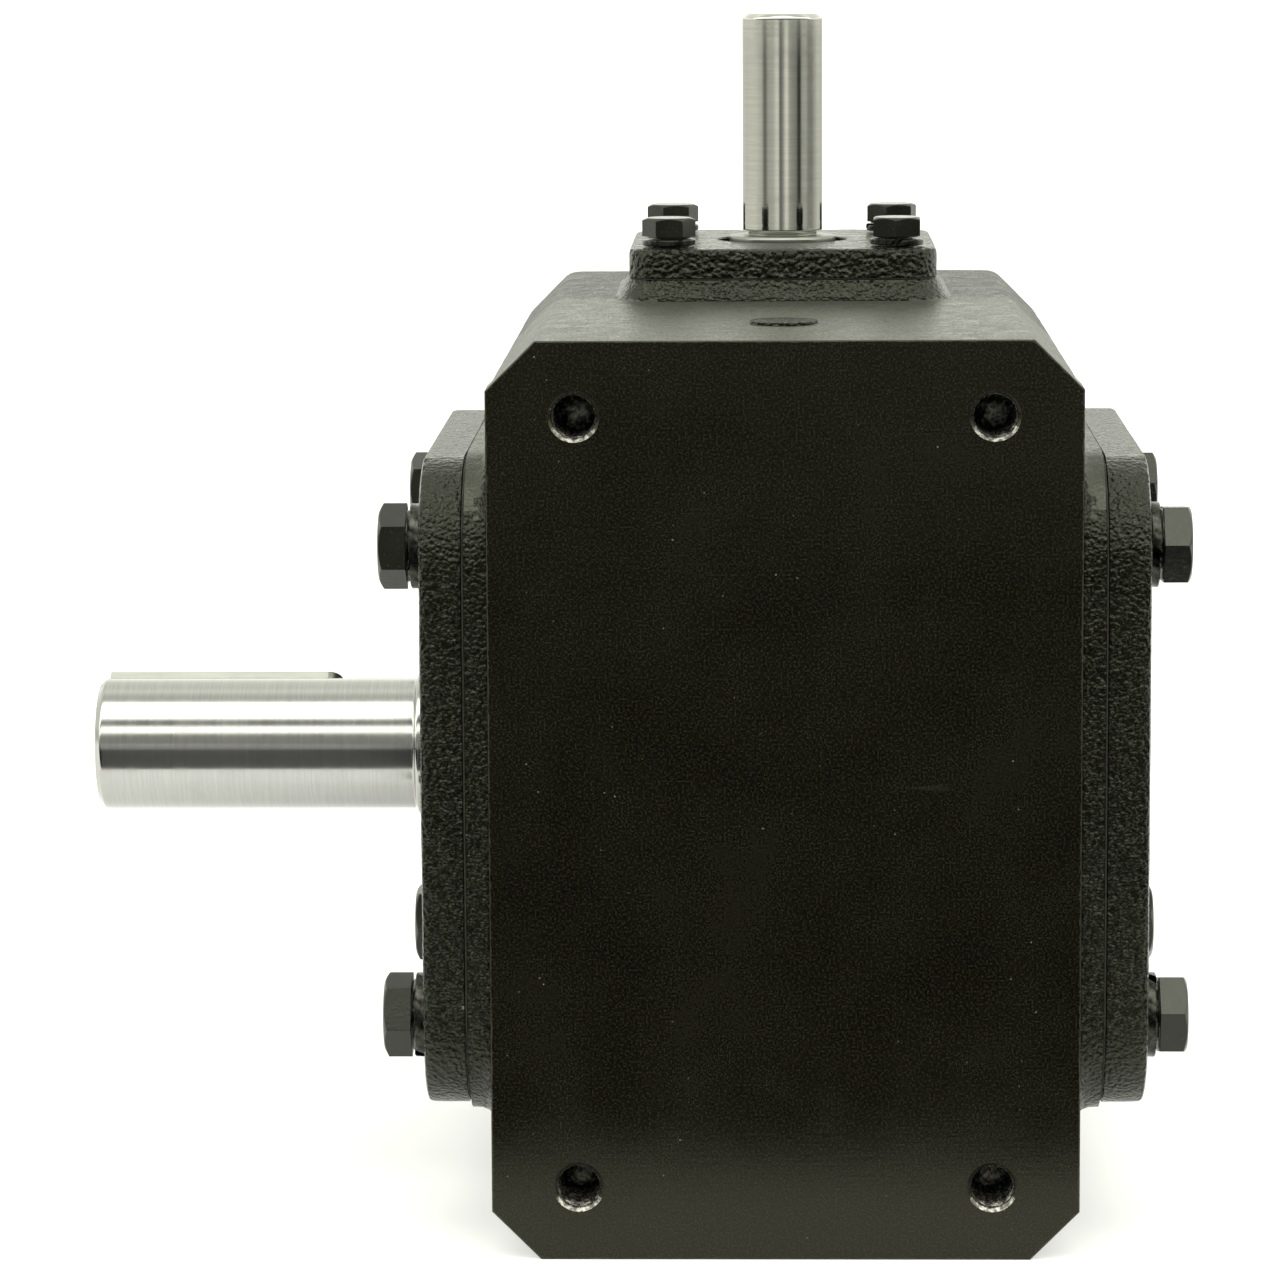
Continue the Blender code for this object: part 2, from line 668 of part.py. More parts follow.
def bearing(prefix, size, back, outwards, axis):
    """Tapered roller bearing on an axis empty's local Z.

    Its cup's back is at the height `back`, and `outwards` is the way that back faces, 1 or -1.
    The cone turns with the shaft, so it alone is parented to the axis.
    """
    bore, outer, width = size
    span = outer - bore
    roller = 0.224 * span
    large_end = 0.17 * width
    small_end = 0.80 * width
    cone_end = 0.92 * width
    cup_end = 0.22 * width

    def track(w):
        return bore + 0.62 * span - (w - large_end) * math.tan(ROLLER_TILT)

    def reach(w):
        return (roller - (w - large_end) * math.tan(ROLLER_TAPER)) / math.cos(ROLLER_TILT)

    def cone_race(w):
        return track(w) - reach(w)

    def cup_race(w):
        return track(w) + reach(w)

    rib_face = large_end - roller * math.sin(ROLLER_TILT) - 0.2
    rib = cone_race(large_end) + 0.45 * roller
    cone = turned(prefix + "_cone", [
        (cone_race(cone_end), cone_end),
        (cone_race(rib_face), rib_face),
        (rib, rib_face),
        (rib, 0),
    ], [(bore + THIN_GAP, 0), (bore + THIN_GAP, cone_end)])
    cup = turned(prefix + "_cup", [(outer, width), (outer, cup_end)],
                 [(cup_race(cup_end), cup_end), (cup_race(width), width)])

    cage_low = large_end - 0.9
    cage_high = small_end + 1.2
    cage_half = 0.6
    cage = turned(prefix + "_rollers", [
        (track(cage_high) + cage_half, cage_high),
        (track(cage_low) + cage_half, cage_low),
    ], [
        (track(cage_low) - cage_half, cage_low),
        (track(cage_high) - cage_half, cage_high),
    ], steps=ROLLERS_PER_BEARING * 2)
    bm = bmesh.new()
    middle = (large_end + small_end) / 2
    drop = (small_end - large_end) * math.tan(ROLLER_TAPER)
    for i in range(ROLLERS_PER_BEARING):
        matrix = (
            Matrix.Rotation((i + 0.5) * math.tau / ROLLERS_PER_BEARING, 4, "Z")
            @ Matrix.Translation((track(middle) * MM, 0, middle * MM))
            @ Matrix.Rotation(-ROLLER_TILT, 4, "Y")
        )
        bmesh.ops.create_cone(bm, cap_ends=True, segments=6, matrix=matrix, depth=(small_end - large_end) * MM,
                              radius1=(roller - GAP) * MM, radius2=(roller - GAP - drop) * MM)
    join(cage, new_object(prefix + "_roller_set", mesh_from(bm, prefix)))

    local = place(0, 0, back - width * outwards, None if outwards > 0 else UPSIDE_DOWN)
    at(part(cup, BEARING_STEEL), axis.matrix_world @ local)
    at(part(cage, BEARING_STEEL), axis.matrix_world @ local)
    part(cone, BEARING_STEEL, axis, local)


# ---------------------------------------------------------------- worm wheel and worm


def thread_half_width(radius):
    """Half the worm thread's axial width at a distance from the worm's axis."""
    return AXIAL_PITCH / 4 - (radius - WORM_PITCH_RADIUS) * math.tan(PRESSURE_ANGLE)


def tooth_space(x, radius):
    """Angles that the turning worm's thread sweeps clear, at one radius and one station along X.

    A wheel point at angle a passes the worm at every angle b, while the thread moves with the pitch
    circle, so the thread covers a band of a about each b, and the space is the union of those bands.
    """
    b = np.linspace(-0.6, 0.6, 2401)
    depth = CENTRE_DISTANCE - radius * np.cos(b)
    from_worm_axis = np.hypot(depth, x)
    reached = from_worm_axis < WORM_TIP_RADIUS
    along = radius * np.sin(b) - AXIAL_PITCH / math.tau * np.arctan2(x, depth)
    centre = b - along / WHEEL_PITCH_RADIUS
    half = thread_half_width(from_worm_axis) / WHEEL_PITCH_RADIUS
    margin = FLANK_CLEARANCE / radius
    return (centre - half)[reached].min() - margin, (centre + half)[reached].max() + margin


def wheel_levels(x):
    """Radii of the tooth flank's stations, from the root that clears the worm's tip to the throated tip."""
    worm_tip = CENTRE_DISTANCE - math.sqrt(WORM_TIP_RADIUS ** 2 - x ** 2)
    root = CENTRE_DISTANCE - math.sqrt((WORM_TIP_RADIUS + TIP_CLEARANCE) ** 2 - x ** 2)
    throat = WORM_ROOT_RADIUS + TIP_CLEARANCE
    tip = WHEEL_OUTER_RADIUS
    if abs(x) < throat:
        tip = min(tip, CENTRE_DISTANCE - math.sqrt(throat ** 2 - x ** 2))
    flank = np.linspace(worm_tip + 0.25, tip, FLANK_STATIONS)
    return [root, *flank]


def wheel_outline(x):
    """Points round one station of the toothed rim, as angles from +Y towards +Z and radii."""
    levels = wheel_levels(x)
    spaces = [tooth_space(x, max(radius, levels[1])) for radius in levels]
    pitch = math.tau / WHEEL_TEETH
    points = []
    for tooth in range(WHEEL_TEETH):
        middle = tooth * pitch
        points += [(middle + space[0], radius) for space, radius in reversed(list(zip(spaces, levels)))]
        points += [(middle + space[1], radius) for space, radius in zip(spaces, levels)]
    return points


def wheel_rim(parent):
    """Bronze rim: a loft through stations across its width, bored to fit the hub."""
    stations = np.linspace(-WHEEL_HALF_WIDTH, WHEEL_HALF_WIDTH, WHEEL_STATIONS)
    bm = bmesh.new()
    rings = []
    for x in stations:
        ring = []
        for angle, radius in wheel_outline(x):
            local = math.pi / 2 - KEY_ANGLE - angle
            co = (radius * math.cos(local) * MM, radius * math.sin(local) * MM, -x * MM)
            ring.append(bm.verts.new(co))
        rings.append(ring)
    for ring, following in zip(rings, rings[1:]):
        for i in range(len(ring)):
            j = (i + 1) % len(ring)
            bm.faces.new((ring[i], ring[j], following[j], following[i]))
    bm.faces.new(rings[0])
    bm.faces.new(rings[-1])
    bmesh.ops.recalc_face_normals(bm, faces=bm.faces)
    rim = new_object("worm_wheel_rim", mesh_from(bm, "worm_wheel_rim"))
    bore = prism("rim_bore", RIM_SEAT_RADIUS + GAP, -WHEEL_HALF_WIDTH - 1, WHEEL_HALF_WIDTH + 1, FINE)
    part(cut(rim, bore), BRONZE, parent)


def wheel_hub(parent):
    """Iron hub that carries the rim, and the key between it and the shaft."""
    width = WHEEL_HALF_WIDTH
    web = HUB_WEB_HALF_WIDTH
    profile = [
        (HUB_RADIUS, HUB_HALF_LENGTH),
        (HUB_RADIUS, web),
        (HUB_WEB_RADIUS, web),
        (HUB_WEB_RADIUS, width),
        (RIM_SEAT_RADIUS, width),
        (RIM_SEAT_RADIUS, -width),
        (HUB_WEB_RADIUS, -width),
        (HUB_WEB_RADIUS, -web),
        (HUB_RADIUS, -web),
        (HUB_RADIUS, -HUB_HALF_LENGTH),
    ]
    bore = WHEEL_SEAT_RADIUS + THIN_GAP
    hub = turned("worm_wheel_hub", profile, [(bore, -HUB_HALF_LENGTH), (bore, HUB_HALF_LENGTH)])
    half = WHEEL_KEY / 2 + THIN_GAP
    slot = block("hub_keyway", (0, -half, -HUB_HALF_LENGTH - 1),
                 (WHEEL_SEAT_RADIUS + half, half, HUB_HALF_LENGTH + 1))
    part(cut(hub, slot), BARE_IRON, parent)
    half = WHEEL_KEY / 2
    key = block("wheel_key", (WHEEL_SEAT_RADIUS - half, -half, -HUB_HALF_LENGTH + 2),
                (WHEEL_SEAT_RADIUS + half - 0.2, half, HUB_HALF_LENGTH - 4))
    part(key, GROUND_STEEL, parent)


def keyway(name, shaft_radius, width, low, high):
    """Cutter for a keyway on the local +X side, with both ends rounded as an end mill leaves them."""
    half = width / 2 + THIN_GAP
    return rounded_bar(name, shaft_radius - half, shaft_radius + half, half, low, high)


def rounded_bar(name, inner, outer, half, low, high):
    """Bar along Z between two distances on +X, with both ends rounded as seen from +X."""
    return block(name, (inner, -half, low), (outer, half, high), corner=half * 0.98, along="X")


def output_shaft(parent):
    """Shaft that carries the wheel and leaves the gearbox along local +Z, with its outer key."""
    radius = OUTPUT_SHAFT_RADIUS
    end = OUTPUT_SHAFT_END
    seat = OUTPUT_BEARING[0]
    shoulder = OUTPUT_BEARING_BACK - OUTPUT_BEARING[2] - THIN_GAP
    journal = OUTPUT_JOURNAL_RADIUS
    shaft = turned("output_shaft", [
        (0, end - 4),
        (2.3, end),
        (radius - 1.6, end),
        (radius, end - 1.6),
        (radius, OUTPUT_SHOULDER),
        (journal, OUTPUT_SHOULDER - 1.6),
        (journal, OUTPUT_BEARING_BACK + 0.2),
        (seat, OUTPUT_BEARING_BACK - 0.2),
        (seat, shoulder),
        (SHAFT_BODY_RADIUS, shoulder),
        (SHAFT_BODY_RADIUS, WHEEL_COLLAR_END),
        (WHEEL_COLLAR_RADIUS, WHEEL_COLLAR_END - 1),
        (WHEEL_COLLAR_RADIUS, HUB_HALF_LENGTH + GAP),
        (WHEEL_SEAT_RADIUS, HUB_HALF_LENGTH + GAP),
        (WHEEL_SEAT_RADIUS, -shoulder),
        (seat, -shoulder),
        (seat, -OUTPUT_BEARING_BACK),
        (seat - 1, -OUTPUT_BEARING_BACK - 1),
        (0, -OUTPUT_BEARING_BACK - 1),
    ])
    outer_slot = keyway("output_keyway", radius, OUTPUT_KEY, OUTPUT_KEY_LOW - 2, OUTPUT_KEY_HIGH + THIN_GAP)
    wheel_slot = keyway("wheel_keyway", WHEEL_SEAT_RADIUS, WHEEL_KEY, -HUB_HALF_LENGTH - 3, HUB_HALF_LENGTH)
    part(cut(shaft, outer_slot, wheel_slot), GROUND_STEEL, parent)
    half = OUTPUT_KEY / 2
    top = radius + half - 0.2
    key = rounded_bar("output_key", radius - half, top, half, OUTPUT_KEY_LOW, OUTPUT_KEY_HIGH)
    part(key, GROUND_STEEL, parent)


def wheel_spacer(parent):
    inner = WHEEL_SEAT_RADIUS + THIN_GAP
    low = -(OUTPUT_BEARING_BACK - OUTPUT_BEARING[2]) + THIN_GAP
    high = -HUB_HALF_LENGTH - THIN_GAP
    outer = WHEEL_COLLAR_RADIUS - 1
    spacer = turned("wheel_spacer", [(outer, high), (outer, low)], [(inner, low), (inner, high)])
    part(spacer, GROUND_STEEL, parent)


def worm_thread():
    """The worm's one thread as a helical loft, running out into the core at both ends."""
    reach = THREAD_REACH / AXIAL_PITCH * math.tau
    count = round(2 * reach / math.tau * THREAD_STEPS)
    run_out = math.radians(70)
    base_radius = WORM_ROOT_RADIUS - 1.0
    bm = bmesh.new()
    rings = []
    for i in range(count + 1):
        turn = -reach + 2 * reach * i / count
        fade = min(1.0, (reach - abs(turn)) / run_out)
        tip_radius = base_radius + 0.4 + (WORM_TIP_RADIUS - base_radius - 0.4) * fade
        profile = [(base_radius, -1), (tip_radius, -1), (tip_radius, 1), (base_radius, 1)]
        ring = []
        for radius, side in profile:
            height = OUTPUT_Z + AXIAL_PITCH * turn / math.tau + side * thread_half_width(radius)
            co = (radius * math.sin(turn) * MM, -radius * math.cos(turn) * MM, height * MM)
            ring.append(bm.verts.new(co))
        rings.append(ring)
    for ring, following in zip(rings, rings[1:]):
        for j in range(4):
            k = (j + 1) % 4
            bm.faces.new((ring[j], ring[k], following[k], following[j]))
    bm.faces.new(rings[0])
    bm.faces.new(rings[-1])
    bmesh.ops.triangulate(bm, faces=bm.faces)
    bmesh.ops.recalc_face_normals(bm, faces=bm.faces)
    return new_object("worm_thread", mesh_from(bm, "worm_thread"))


def worm_shaft(parent):
    """Input shaft with the worm cut on it, and its key on the side away from the mounting face."""
    radius = INPUT_SHAFT_RADIUS
    top = INPUT_SHAFT_TOP
    journal = INPUT_JOURNAL_RADIUS
    journal_top = INPUT_JOURNAL_TOP
    seat = WORM_BEARING[0]
    upper_shoulder = UPPER_WORM_BEARING_BACK - WORM_BEARING[2] - THIN_GAP
    lower_shoulder = LOWER_WORM_BEARING_BACK + WORM_BEARING[2] + THIN_GAP
    core_top = OUTPUT_Z + WORM_HALF_LENGTH
    core_bottom = OUTPUT_Z - WORM_HALF_LENGTH
    shaft = turned("worm_shaft", [
        (0, top - 3.5),
        (2, top),
        (radius - 1.9, top),
        (radius, top - 1.9),
        (radius, journal_top + 0.8),
        (radius - 0.5, journal_top + 0.8),
        (radius - 0.5, journal_top),
        (journal - 0.5, journal_top),
        (journal, journal_top - 0.5),
        (journal, UPPER_WORM_BEARING_BACK + 0.8),
        (seat, UPPER_WORM_BEARING_BACK),
        (seat, upper_shoulder),
        (WORM_SHOULDER_RADIUS, upper_shoulder),
        (WORM_SHOULDER_RADIUS, upper_shoulder - 10),
        (WORM_BODY_RADIUS, upper_shoulder - 12),
        (WORM_BODY_RADIUS, core_top + 4),
        (WORM_ROOT_RADIUS, core_top),
        (WORM_ROOT_RADIUS, core_bottom),
        (WORM_BODY_RADIUS, core_bottom - 4),
        (WORM_BODY_RADIUS, lower_shoulder + 12),
        (WORM_SHOULDER_RADIUS, lower_shoulder + 10),
        (WORM_SHOULDER_RADIUS, lower_shoulder),
        (seat, lower_shoulder),
        (seat, LOWER_WORM_BEARING_BACK + 1.5),
        (seat - 1, LOWER_WORM_BEARING_BACK + 0.5),
        (0, LOWER_WORM_BEARING_BACK + 0.5),
    ], steps=THREAD_STEPS)
    slot = keyway("input_keyway", radius, INPUT_KEY, INPUT_KEY_LOW - 1, INPUT_KEY_HIGH + THIN_GAP)
    at(slot, KEYWAY_BACKWARDS)
    part(cut(join(shaft, worm_thread()), slot), GROUND_STEEL, parent)
    half = INPUT_KEY / 2
    key = rounded_bar("input_key", radius - half, radius + half - 0.1, half, INPUT_KEY_LOW,
                      INPUT_KEY_HIGH)
    part(key, GROUND_STEEL, parent, KEYWAY_BACKWARDS)


# ---------------------------------------------------------------- assembly

clear_scene()
GEARBOX = new_collection("worm_gearbox")
CUTTERS = new_collection("cutters")

key_turn = Matrix.Rotation(KEY_ANGLE, 4, "Z")
output_axis = axis_empty("output_axis", place(0, OUTPUT_Y, OUTPUT_Z, TOWARDS_OUTPUT @ key_turn))
worm_axis = axis_empty("worm_axis", place(0, INPUT_Y, 0))
bpy.context.view_layer.update()

housing()
for side_name, side_frame in side_frames():
    cover(side_name, side_frame)
    cover_gasket(side_name, side_frame)
output_seal(side_frames()[0][1])
input_cap(place(0, INPUT_Y, 0))
input_cap_gasket(place(0, INPUT_Y, 0))
worm_end_closure()
pipe_plugs()
fasteners()

output_shaft(output_axis)
wheel_rim(output_axis)
wheel_hub(output_axis)
wheel_spacer(output_axis)
bearing("output_end_bearing", OUTPUT_BEARING, OUTPUT_BEARING_BACK, 1, output_axis)
bearing("blind_end_bearing", OUTPUT_BEARING, -OUTPUT_BEARING_BACK, -1, output_axis)

worm_shaft(worm_axis)
bearing("upper_worm_bearing", WORM_BEARING, UPPER_WORM_BEARING_BACK, 1, worm_axis)
bearing("lower_worm_bearing", WORM_BEARING, LOWER_WORM_BEARING_BACK, -1, worm_axis)
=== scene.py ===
"""Looks of the worm gearbox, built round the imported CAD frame. Lengths are millimetres unless a name says metres."""
import math

import bmesh
import bpy
from mathutils import Matrix, Vector, noise

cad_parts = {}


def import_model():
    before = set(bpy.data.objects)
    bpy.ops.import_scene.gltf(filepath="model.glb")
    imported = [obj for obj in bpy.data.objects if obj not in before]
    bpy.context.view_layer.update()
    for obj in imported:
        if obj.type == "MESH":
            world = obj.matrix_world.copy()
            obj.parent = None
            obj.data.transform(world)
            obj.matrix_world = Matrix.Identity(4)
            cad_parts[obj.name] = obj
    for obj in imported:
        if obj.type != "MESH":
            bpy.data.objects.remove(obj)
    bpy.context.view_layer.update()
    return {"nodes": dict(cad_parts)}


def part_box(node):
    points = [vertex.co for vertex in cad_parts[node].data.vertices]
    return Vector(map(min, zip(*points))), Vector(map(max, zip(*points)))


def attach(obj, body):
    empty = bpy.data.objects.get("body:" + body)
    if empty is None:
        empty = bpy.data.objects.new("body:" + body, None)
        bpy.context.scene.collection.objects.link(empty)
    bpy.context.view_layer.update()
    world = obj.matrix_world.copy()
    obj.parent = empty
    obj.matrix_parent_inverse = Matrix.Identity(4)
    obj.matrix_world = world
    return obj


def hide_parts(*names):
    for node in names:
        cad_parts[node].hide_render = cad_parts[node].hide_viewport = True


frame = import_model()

MM = 0.001
nodes = frame["nodes"]

INPUT_Y = sum(c.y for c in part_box("worm_shaft")) / 2 / MM
OUTPUT_Y = sum(c.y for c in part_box("wheel_spacer")) / 2 / MM
OUTPUT_Z = sum(c.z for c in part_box("wheel_spacer")) / 2 / MM
DEPTH = 245
HALF_WIDTH = 74.6
HALF_HEIGHT = 117.2
CHAMFER = 12.5
MOUNT_HOLES = [(x, z) for x in (-52.5, 52.5) for z in (-98.3, 98.3)]
COVER_BOLT_SQUARE = 60.9
CAP_BOLT_SQUARE = 31.2
OUTPUT_RADIUS = 17.4625
INPUT_RADIUS = 11.1125
OUTPUT_KEY_TURN = math.radians(46)
QUARTER_TURN = Matrix.Rotation(math.pi / 2, 4, "Z")
BACK_PLUGS = ("vent_plug", "level_plug", "drain_plug")
CAST_SLOT, FACE_SLOT, THREAD_SLOT, CALM_LIT_SLOT = range(4)
PHOTO_WIDTH = 1280
FOCAL_LENGTH = 5205

TOWARDS_OUTPUT = Matrix.Translation((0, OUTPUT_Y, OUTPUT_Z)) @ Matrix.Rotation(-math.pi / 2, 4, "Y")
AWAY_FROM_OUTPUT = Matrix.Translation((0, OUTPUT_Y, OUTPUT_Z)) @ Matrix.Rotation(math.pi / 2, 4, "Y")
UP = Matrix.Translation((0, INPUT_Y, 0))


# ---------------------------------------------------------------- geometry


def to_object(bm, name, matrix=Matrix.Identity(4)):
    """Object whose mesh lies in the row frame, in metres, from a bmesh in local millimetres."""
    bmesh.ops.transform(bm, matrix=Matrix.Scale(MM, 4) @ matrix, verts=bm.verts)
    bmesh.ops.recalc_face_normals(bm, faces=bm.faces)
    mesh = bpy.data.meshes.new(name)
    bm.to_mesh(mesh)
    bm.free()
    obj = bpy.data.objects.new(name, mesh)
    bpy.context.scene.collection.objects.link(obj)
    return obj


def block(name, low, high, corner=0.0, along="Z", steps=10, matrix=Matrix.Identity(4)):
    bm = bmesh.new()
    centre = [(a + b) / 2 for a, b in zip(low, high)]
    size = [b - a for a, b in zip(low, high)]
    bmesh.ops.create_cube(bm, size=1.0, matrix=Matrix.Translation(centre) @ Matrix.Diagonal((*size, 1.0)))
    if corner:
        axis = "XYZ".index(along)
        edges = [e for e in bm.edges if abs(e.verts[0].co[axis] - e.verts[1].co[axis]) > size[axis] / 2]
        bmesh.ops.bevel(bm, geom=edges, offset=corner, segments=steps, profile=0.5, affect="EDGES")
    return to_object(bm, name, matrix)


def supported(profile, reach=0.3):
    """Extra points close to both ends of every long segment, which keep its shading flat along the axis."""
    result = [profile[0]]
    for before, here in zip(profile, profile[1:]):
        a, b = Vector(before), Vector(here)
        step = (b - a).normalized() * reach
        if (b - a).length > reach * 4 and a.x > reach * 2 and b.x > reach * 2:
            result += [tuple(a + step), tuple(b - step)]
        result.append(here)
    return result


def lathe(name, profile, matrix=Matrix.Identity(4), steps=96, ring=False):
    """Turn (radius, height) points about local Z. A ring's profile closes on itself."""
    bm = bmesh.new()
    rows = []
    for radius, height in supported(profile):
        if radius == 0:
            rows.append([bm.verts.new((0, 0, height))])
        else:
            rows.append([bm.verts.new((radius * math.cos(math.tau * i / steps),
                                       radius * math.sin(math.tau * i / steps), height)) for i in range(steps)])
    pairs = list(zip(rows, rows[1:]))
    if ring:
        pairs.append((rows[-1], rows[0]))
    for a, b in pairs:
        for i in range(steps):
            j = (i + 1) % steps
            corners = [a[i % len(a)], a[j % len(a)], b[j % len(b)], b[i % len(b)]]
            unique = list(dict.fromkeys(corners))
            if len(unique) > 2:
                bm.faces.new(unique)
    return to_object(bm, name, matrix)


def rounded(points, radius, steps=3):
    """Profile with every inner corner of the polyline rounded."""
    result = [points[0]]
    for before, here, after in zip(points, points[1:], points[2:]):
        a, b, c = Vector(before), Vector(here), Vector(after)
        reach = min(radius, (a - b).length * 0.45, (c - b).length * 0.45)
        start = b + (a - b).normalized() * reach
        end = b + (c - b).normalized() * reach
        for i in range(steps + 1):
            t = i / steps
            result.append(tuple((1 - t) ** 2 * start + 2 * t * (1 - t) * b + t ** 2 * end))
    return result + [points[-1]]


def apply_modifiers(obj):
    graph = bpy.context.evaluated_depsgraph_get()
    mesh = bpy.data.meshes.new_from_object(obj.evaluated_get(graph))
    obj.modifiers.clear()
    obj.data = mesh
    return obj


def boolean(obj, tool, operation="DIFFERENCE"):
    modifier = obj.modifiers.new("boolean", "BOOLEAN")
    modifier.operation = operation
    modifier.solver = "EXACT"
    modifier.object = tool
    apply_modifiers(obj)
    bpy.data.objects.remove(tool)
    return obj


def weld(obj, distance=0.001):
    """Join points that a boolean or an import left closer than this, and drop the slivers between them."""
    bm = bmesh.new()
    bm.from_mesh(obj.data)
    bmesh.ops.remove_doubles(bm, verts=bm.verts, dist=distance * MM)
    bmesh.ops.dissolve_degenerate(bm, edges=bm.edges, dist=distance * MM)
    bm.to_mesh(obj.data)
    bm.free()
    return obj


def merge(obj, *others):
    """Add other objects' meshes to obj as they are."""
    bm = bmesh.new()
    bm.from_mesh(obj.data)
    for other in others:
        bm.from_mesh(other.data)
        bpy.data.objects.remove(other)
    bm.to_mesh(obj.data)
    bm.free()
    return obj


def soften(obj, voxel, passes, waviness=0.0, wavelength=14.0):
    """Melt a sharp solid into a casting: rounded edges, filleted corners and faintly uneven faces."""
    remesh = obj.modifiers.new("remesh", "REMESH")
    remesh.mode = "VOXEL"
    remesh.voxel_size = voxel * MM
    smooth = obj.modifiers.new("smooth", "SMOOTH")
    smooth.factor = 0.5
    smooth.iterations = passes
    apply_modifiers(obj)
    if waviness:
        frequency = 1 / (wavelength * MM)
        moves = [(noise.noise(v.co * frequency) + 0.4 * noise.noise(v.co * frequency * 2.7)) * waviness * MM
                 for v in obj.data.vertices]
        for vertex, move, normal in zip(obj.data.vertices, moves, [n.vector.copy() for n in obj.data.vertex_normals]):
            vertex.co += normal * move
    return obj


def slice_flat(obj, point, normal):
    """Machine a flat: remove what lies beyond a plane and close the cut."""
    bm = bmesh.new()
    bm.from_mesh(obj.data)
    cut = bmesh.ops.bisect_plane(bm, geom=bm.verts[:] + bm.edges[:] + bm.faces[:], dist=1e-7,
                                 plane_co=Vector(point) * MM, plane_no=normal, clear_outer=True)
    edges = [g for g in cut["geom_cut"] if isinstance(g, bmesh.types.BMEdge) and g.is_boundary]
    bmesh.ops.holes_fill(bm, edges=edges, sides=0)
    bmesh.ops.recalc_face_normals(bm, faces=bm.faces)
    bm.to_mesh(obj.data)
    bm.free()
    return obj


def bevel_edges(obj, width, steps=2, angle=40):
    modifier = obj.modifiers.new("bevel", "BEVEL")
    modifier.width = width * MM
    modifier.segments = steps
    modifier.limit_method = "ANGLE"
    modifier.angle_limit = math.radians(angle)
    return apply_modifiers(obj)


def is_compact(mesh, polygon):
    corners = [mesh.vertices[v].co for v in polygon.vertices]
    perimeter = sum((a - b).length for a, b in zip(corners, corners[1:] + corners[:1]))
    return polygon.area > 0.018 * perimeter ** 2


def show(obj, material, body, slot, *replaced):
    obj.data.materials.clear()
    for entry in material if isinstance(material, (list, tuple)) else [material]:
        obj.data.materials.append(entry)
    obj.data.shade_smooth()
    obj.data.set_sharp_from_angle(angle=math.radians(32))
    for polygon in obj.data.polygons:
        if polygon.area > 12 * MM ** 2 and is_compact(obj.data, polygon):
            polygon.use_smooth = False
    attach(obj, body)
    if replaced:
        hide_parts(*replaced)
    return obj


# ---------------------------------------------------------------- materials


class Tree:
    """Short names for the shader nodes that the materials below share. Positions are in millimetres."""

    def __init__(self, name):
        self.material = bpy.data.materials.new(name)
        self.material.use_nodes = True
        self.tree = self.material.node_tree
        self.shader = self.tree.nodes["Principled BSDF"]
        coordinates = self.tree.nodes.new("ShaderNodeTexCoord")
        self.position = self.mapped(coordinates.outputs["Object"], (1000, 1000, 1000))

    def link(self, value, socket):
        if isinstance(value, bpy.types.NodeSocket):
            self.tree.links.new(value, socket)
        else:
            socket.default_value = value

    def mapped(self, vector, scale, turn=(0, 0, 0)):
        node = self.tree.nodes.new("ShaderNodeMapping")
        self.link(vector, node.inputs["Vector"])
        node.inputs["Scale"].default_value = scale
        node.inputs["Rotation"].default_value = turn
        return node.outputs["Vector"]

    def noise(self, size, detail=3.0, roughness=0.5, vector=None, distortion=0.0):
        """Noise whose lumps are about `size` millimetres apart."""
        node = self.tree.nodes.new("ShaderNodeTexNoise")
        self.link(vector or self.position, node.inputs["Vector"])
        node.inputs["Scale"].default_value = 1 / size
        node.inputs["Detail"].default_value = detail
        node.inputs["Roughness"].default_value = roughness
        node.inputs["Distortion"].default_value = distortion
        return node.outputs["Fac"]

    def cells(self, size, feature="F1", output="Distance", vector=None, jitter=1.0):
        node = self.tree.nodes.new("ShaderNodeTexVoronoi")
        node.feature = feature
        self.link(vector or self.position, node.inputs["Vector"])
        node.inputs["Scale"].default_value = 1 / size
        node.inputs["Randomness"].default_value = jitter
        return node.outputs[output]

    def remap(self, value, low, high, out_low=0.0, out_high=1.0):
        node = self.tree.nodes.new("ShaderNodeMapRange")
        node.interpolation_type = "SMOOTHSTEP"
        self.link(value, node.inputs["Value"])
        node.inputs["From Min"].default_value = low
        node.inputs["From Max"].default_value = high
        node.inputs["To Min"].default_value = out_low
        node.inputs["To Max"].default_value = out_high
        return node.outputs["Result"]

    def math(self, operation, a, b=0.0):
        node = self.tree.nodes.new("ShaderNodeMath")
        node.operation = operation
        self.link(a, node.inputs[0])
        self.link(b, node.inputs[1])
        return node.outputs[0]

    def blend(self, factor, a, b):
        node = self.tree.nodes.new("ShaderNodeMix")
        node.data_type = "RGBA"
        self.link(factor, node.inputs[0])
        for value, socket in ((a, node.inputs[6]), (b, node.inputs[7])):
            self.link(value if isinstance(value, bpy.types.NodeSocket) else (*value, 1.0), socket)
        return node.outputs[2]

    def split(self):
        node = self.tree.nodes.new("ShaderNodeSeparateXYZ")
        self.link(self.position, node.inputs[0])
        return node.outputs

    def bump(self, height, distance, strength=1.0, below=None):
        node = self.tree.nodes.new("ShaderNodeBump")
        self.link(height, node.inputs["Height"])
        node.inputs["Distance"].default_value = distance * MM
        node.inputs["Strength"].default_value = strength
        if below is not None:
            self.link(below, node.inputs["Normal"])
        return node.outputs["Normal"]

    def finish(self, colour, roughness, metallic=0.0, normal=None, **values):
        for name, value in (("Base Color", colour), ("Roughness", roughness), ("Metallic", metallic)):
            if name == "Base Color" and not isinstance(value, bpy.types.NodeSocket):
                value = (*value, 1.0)
            self.link(value, self.shader.inputs[name])
        if normal is not None:
            self.link(normal, self.shader.inputs["Normal"])
        for name, value in values.items():
            self.shader.inputs[name.replace("_", " ")].default_value = value
        return self.material


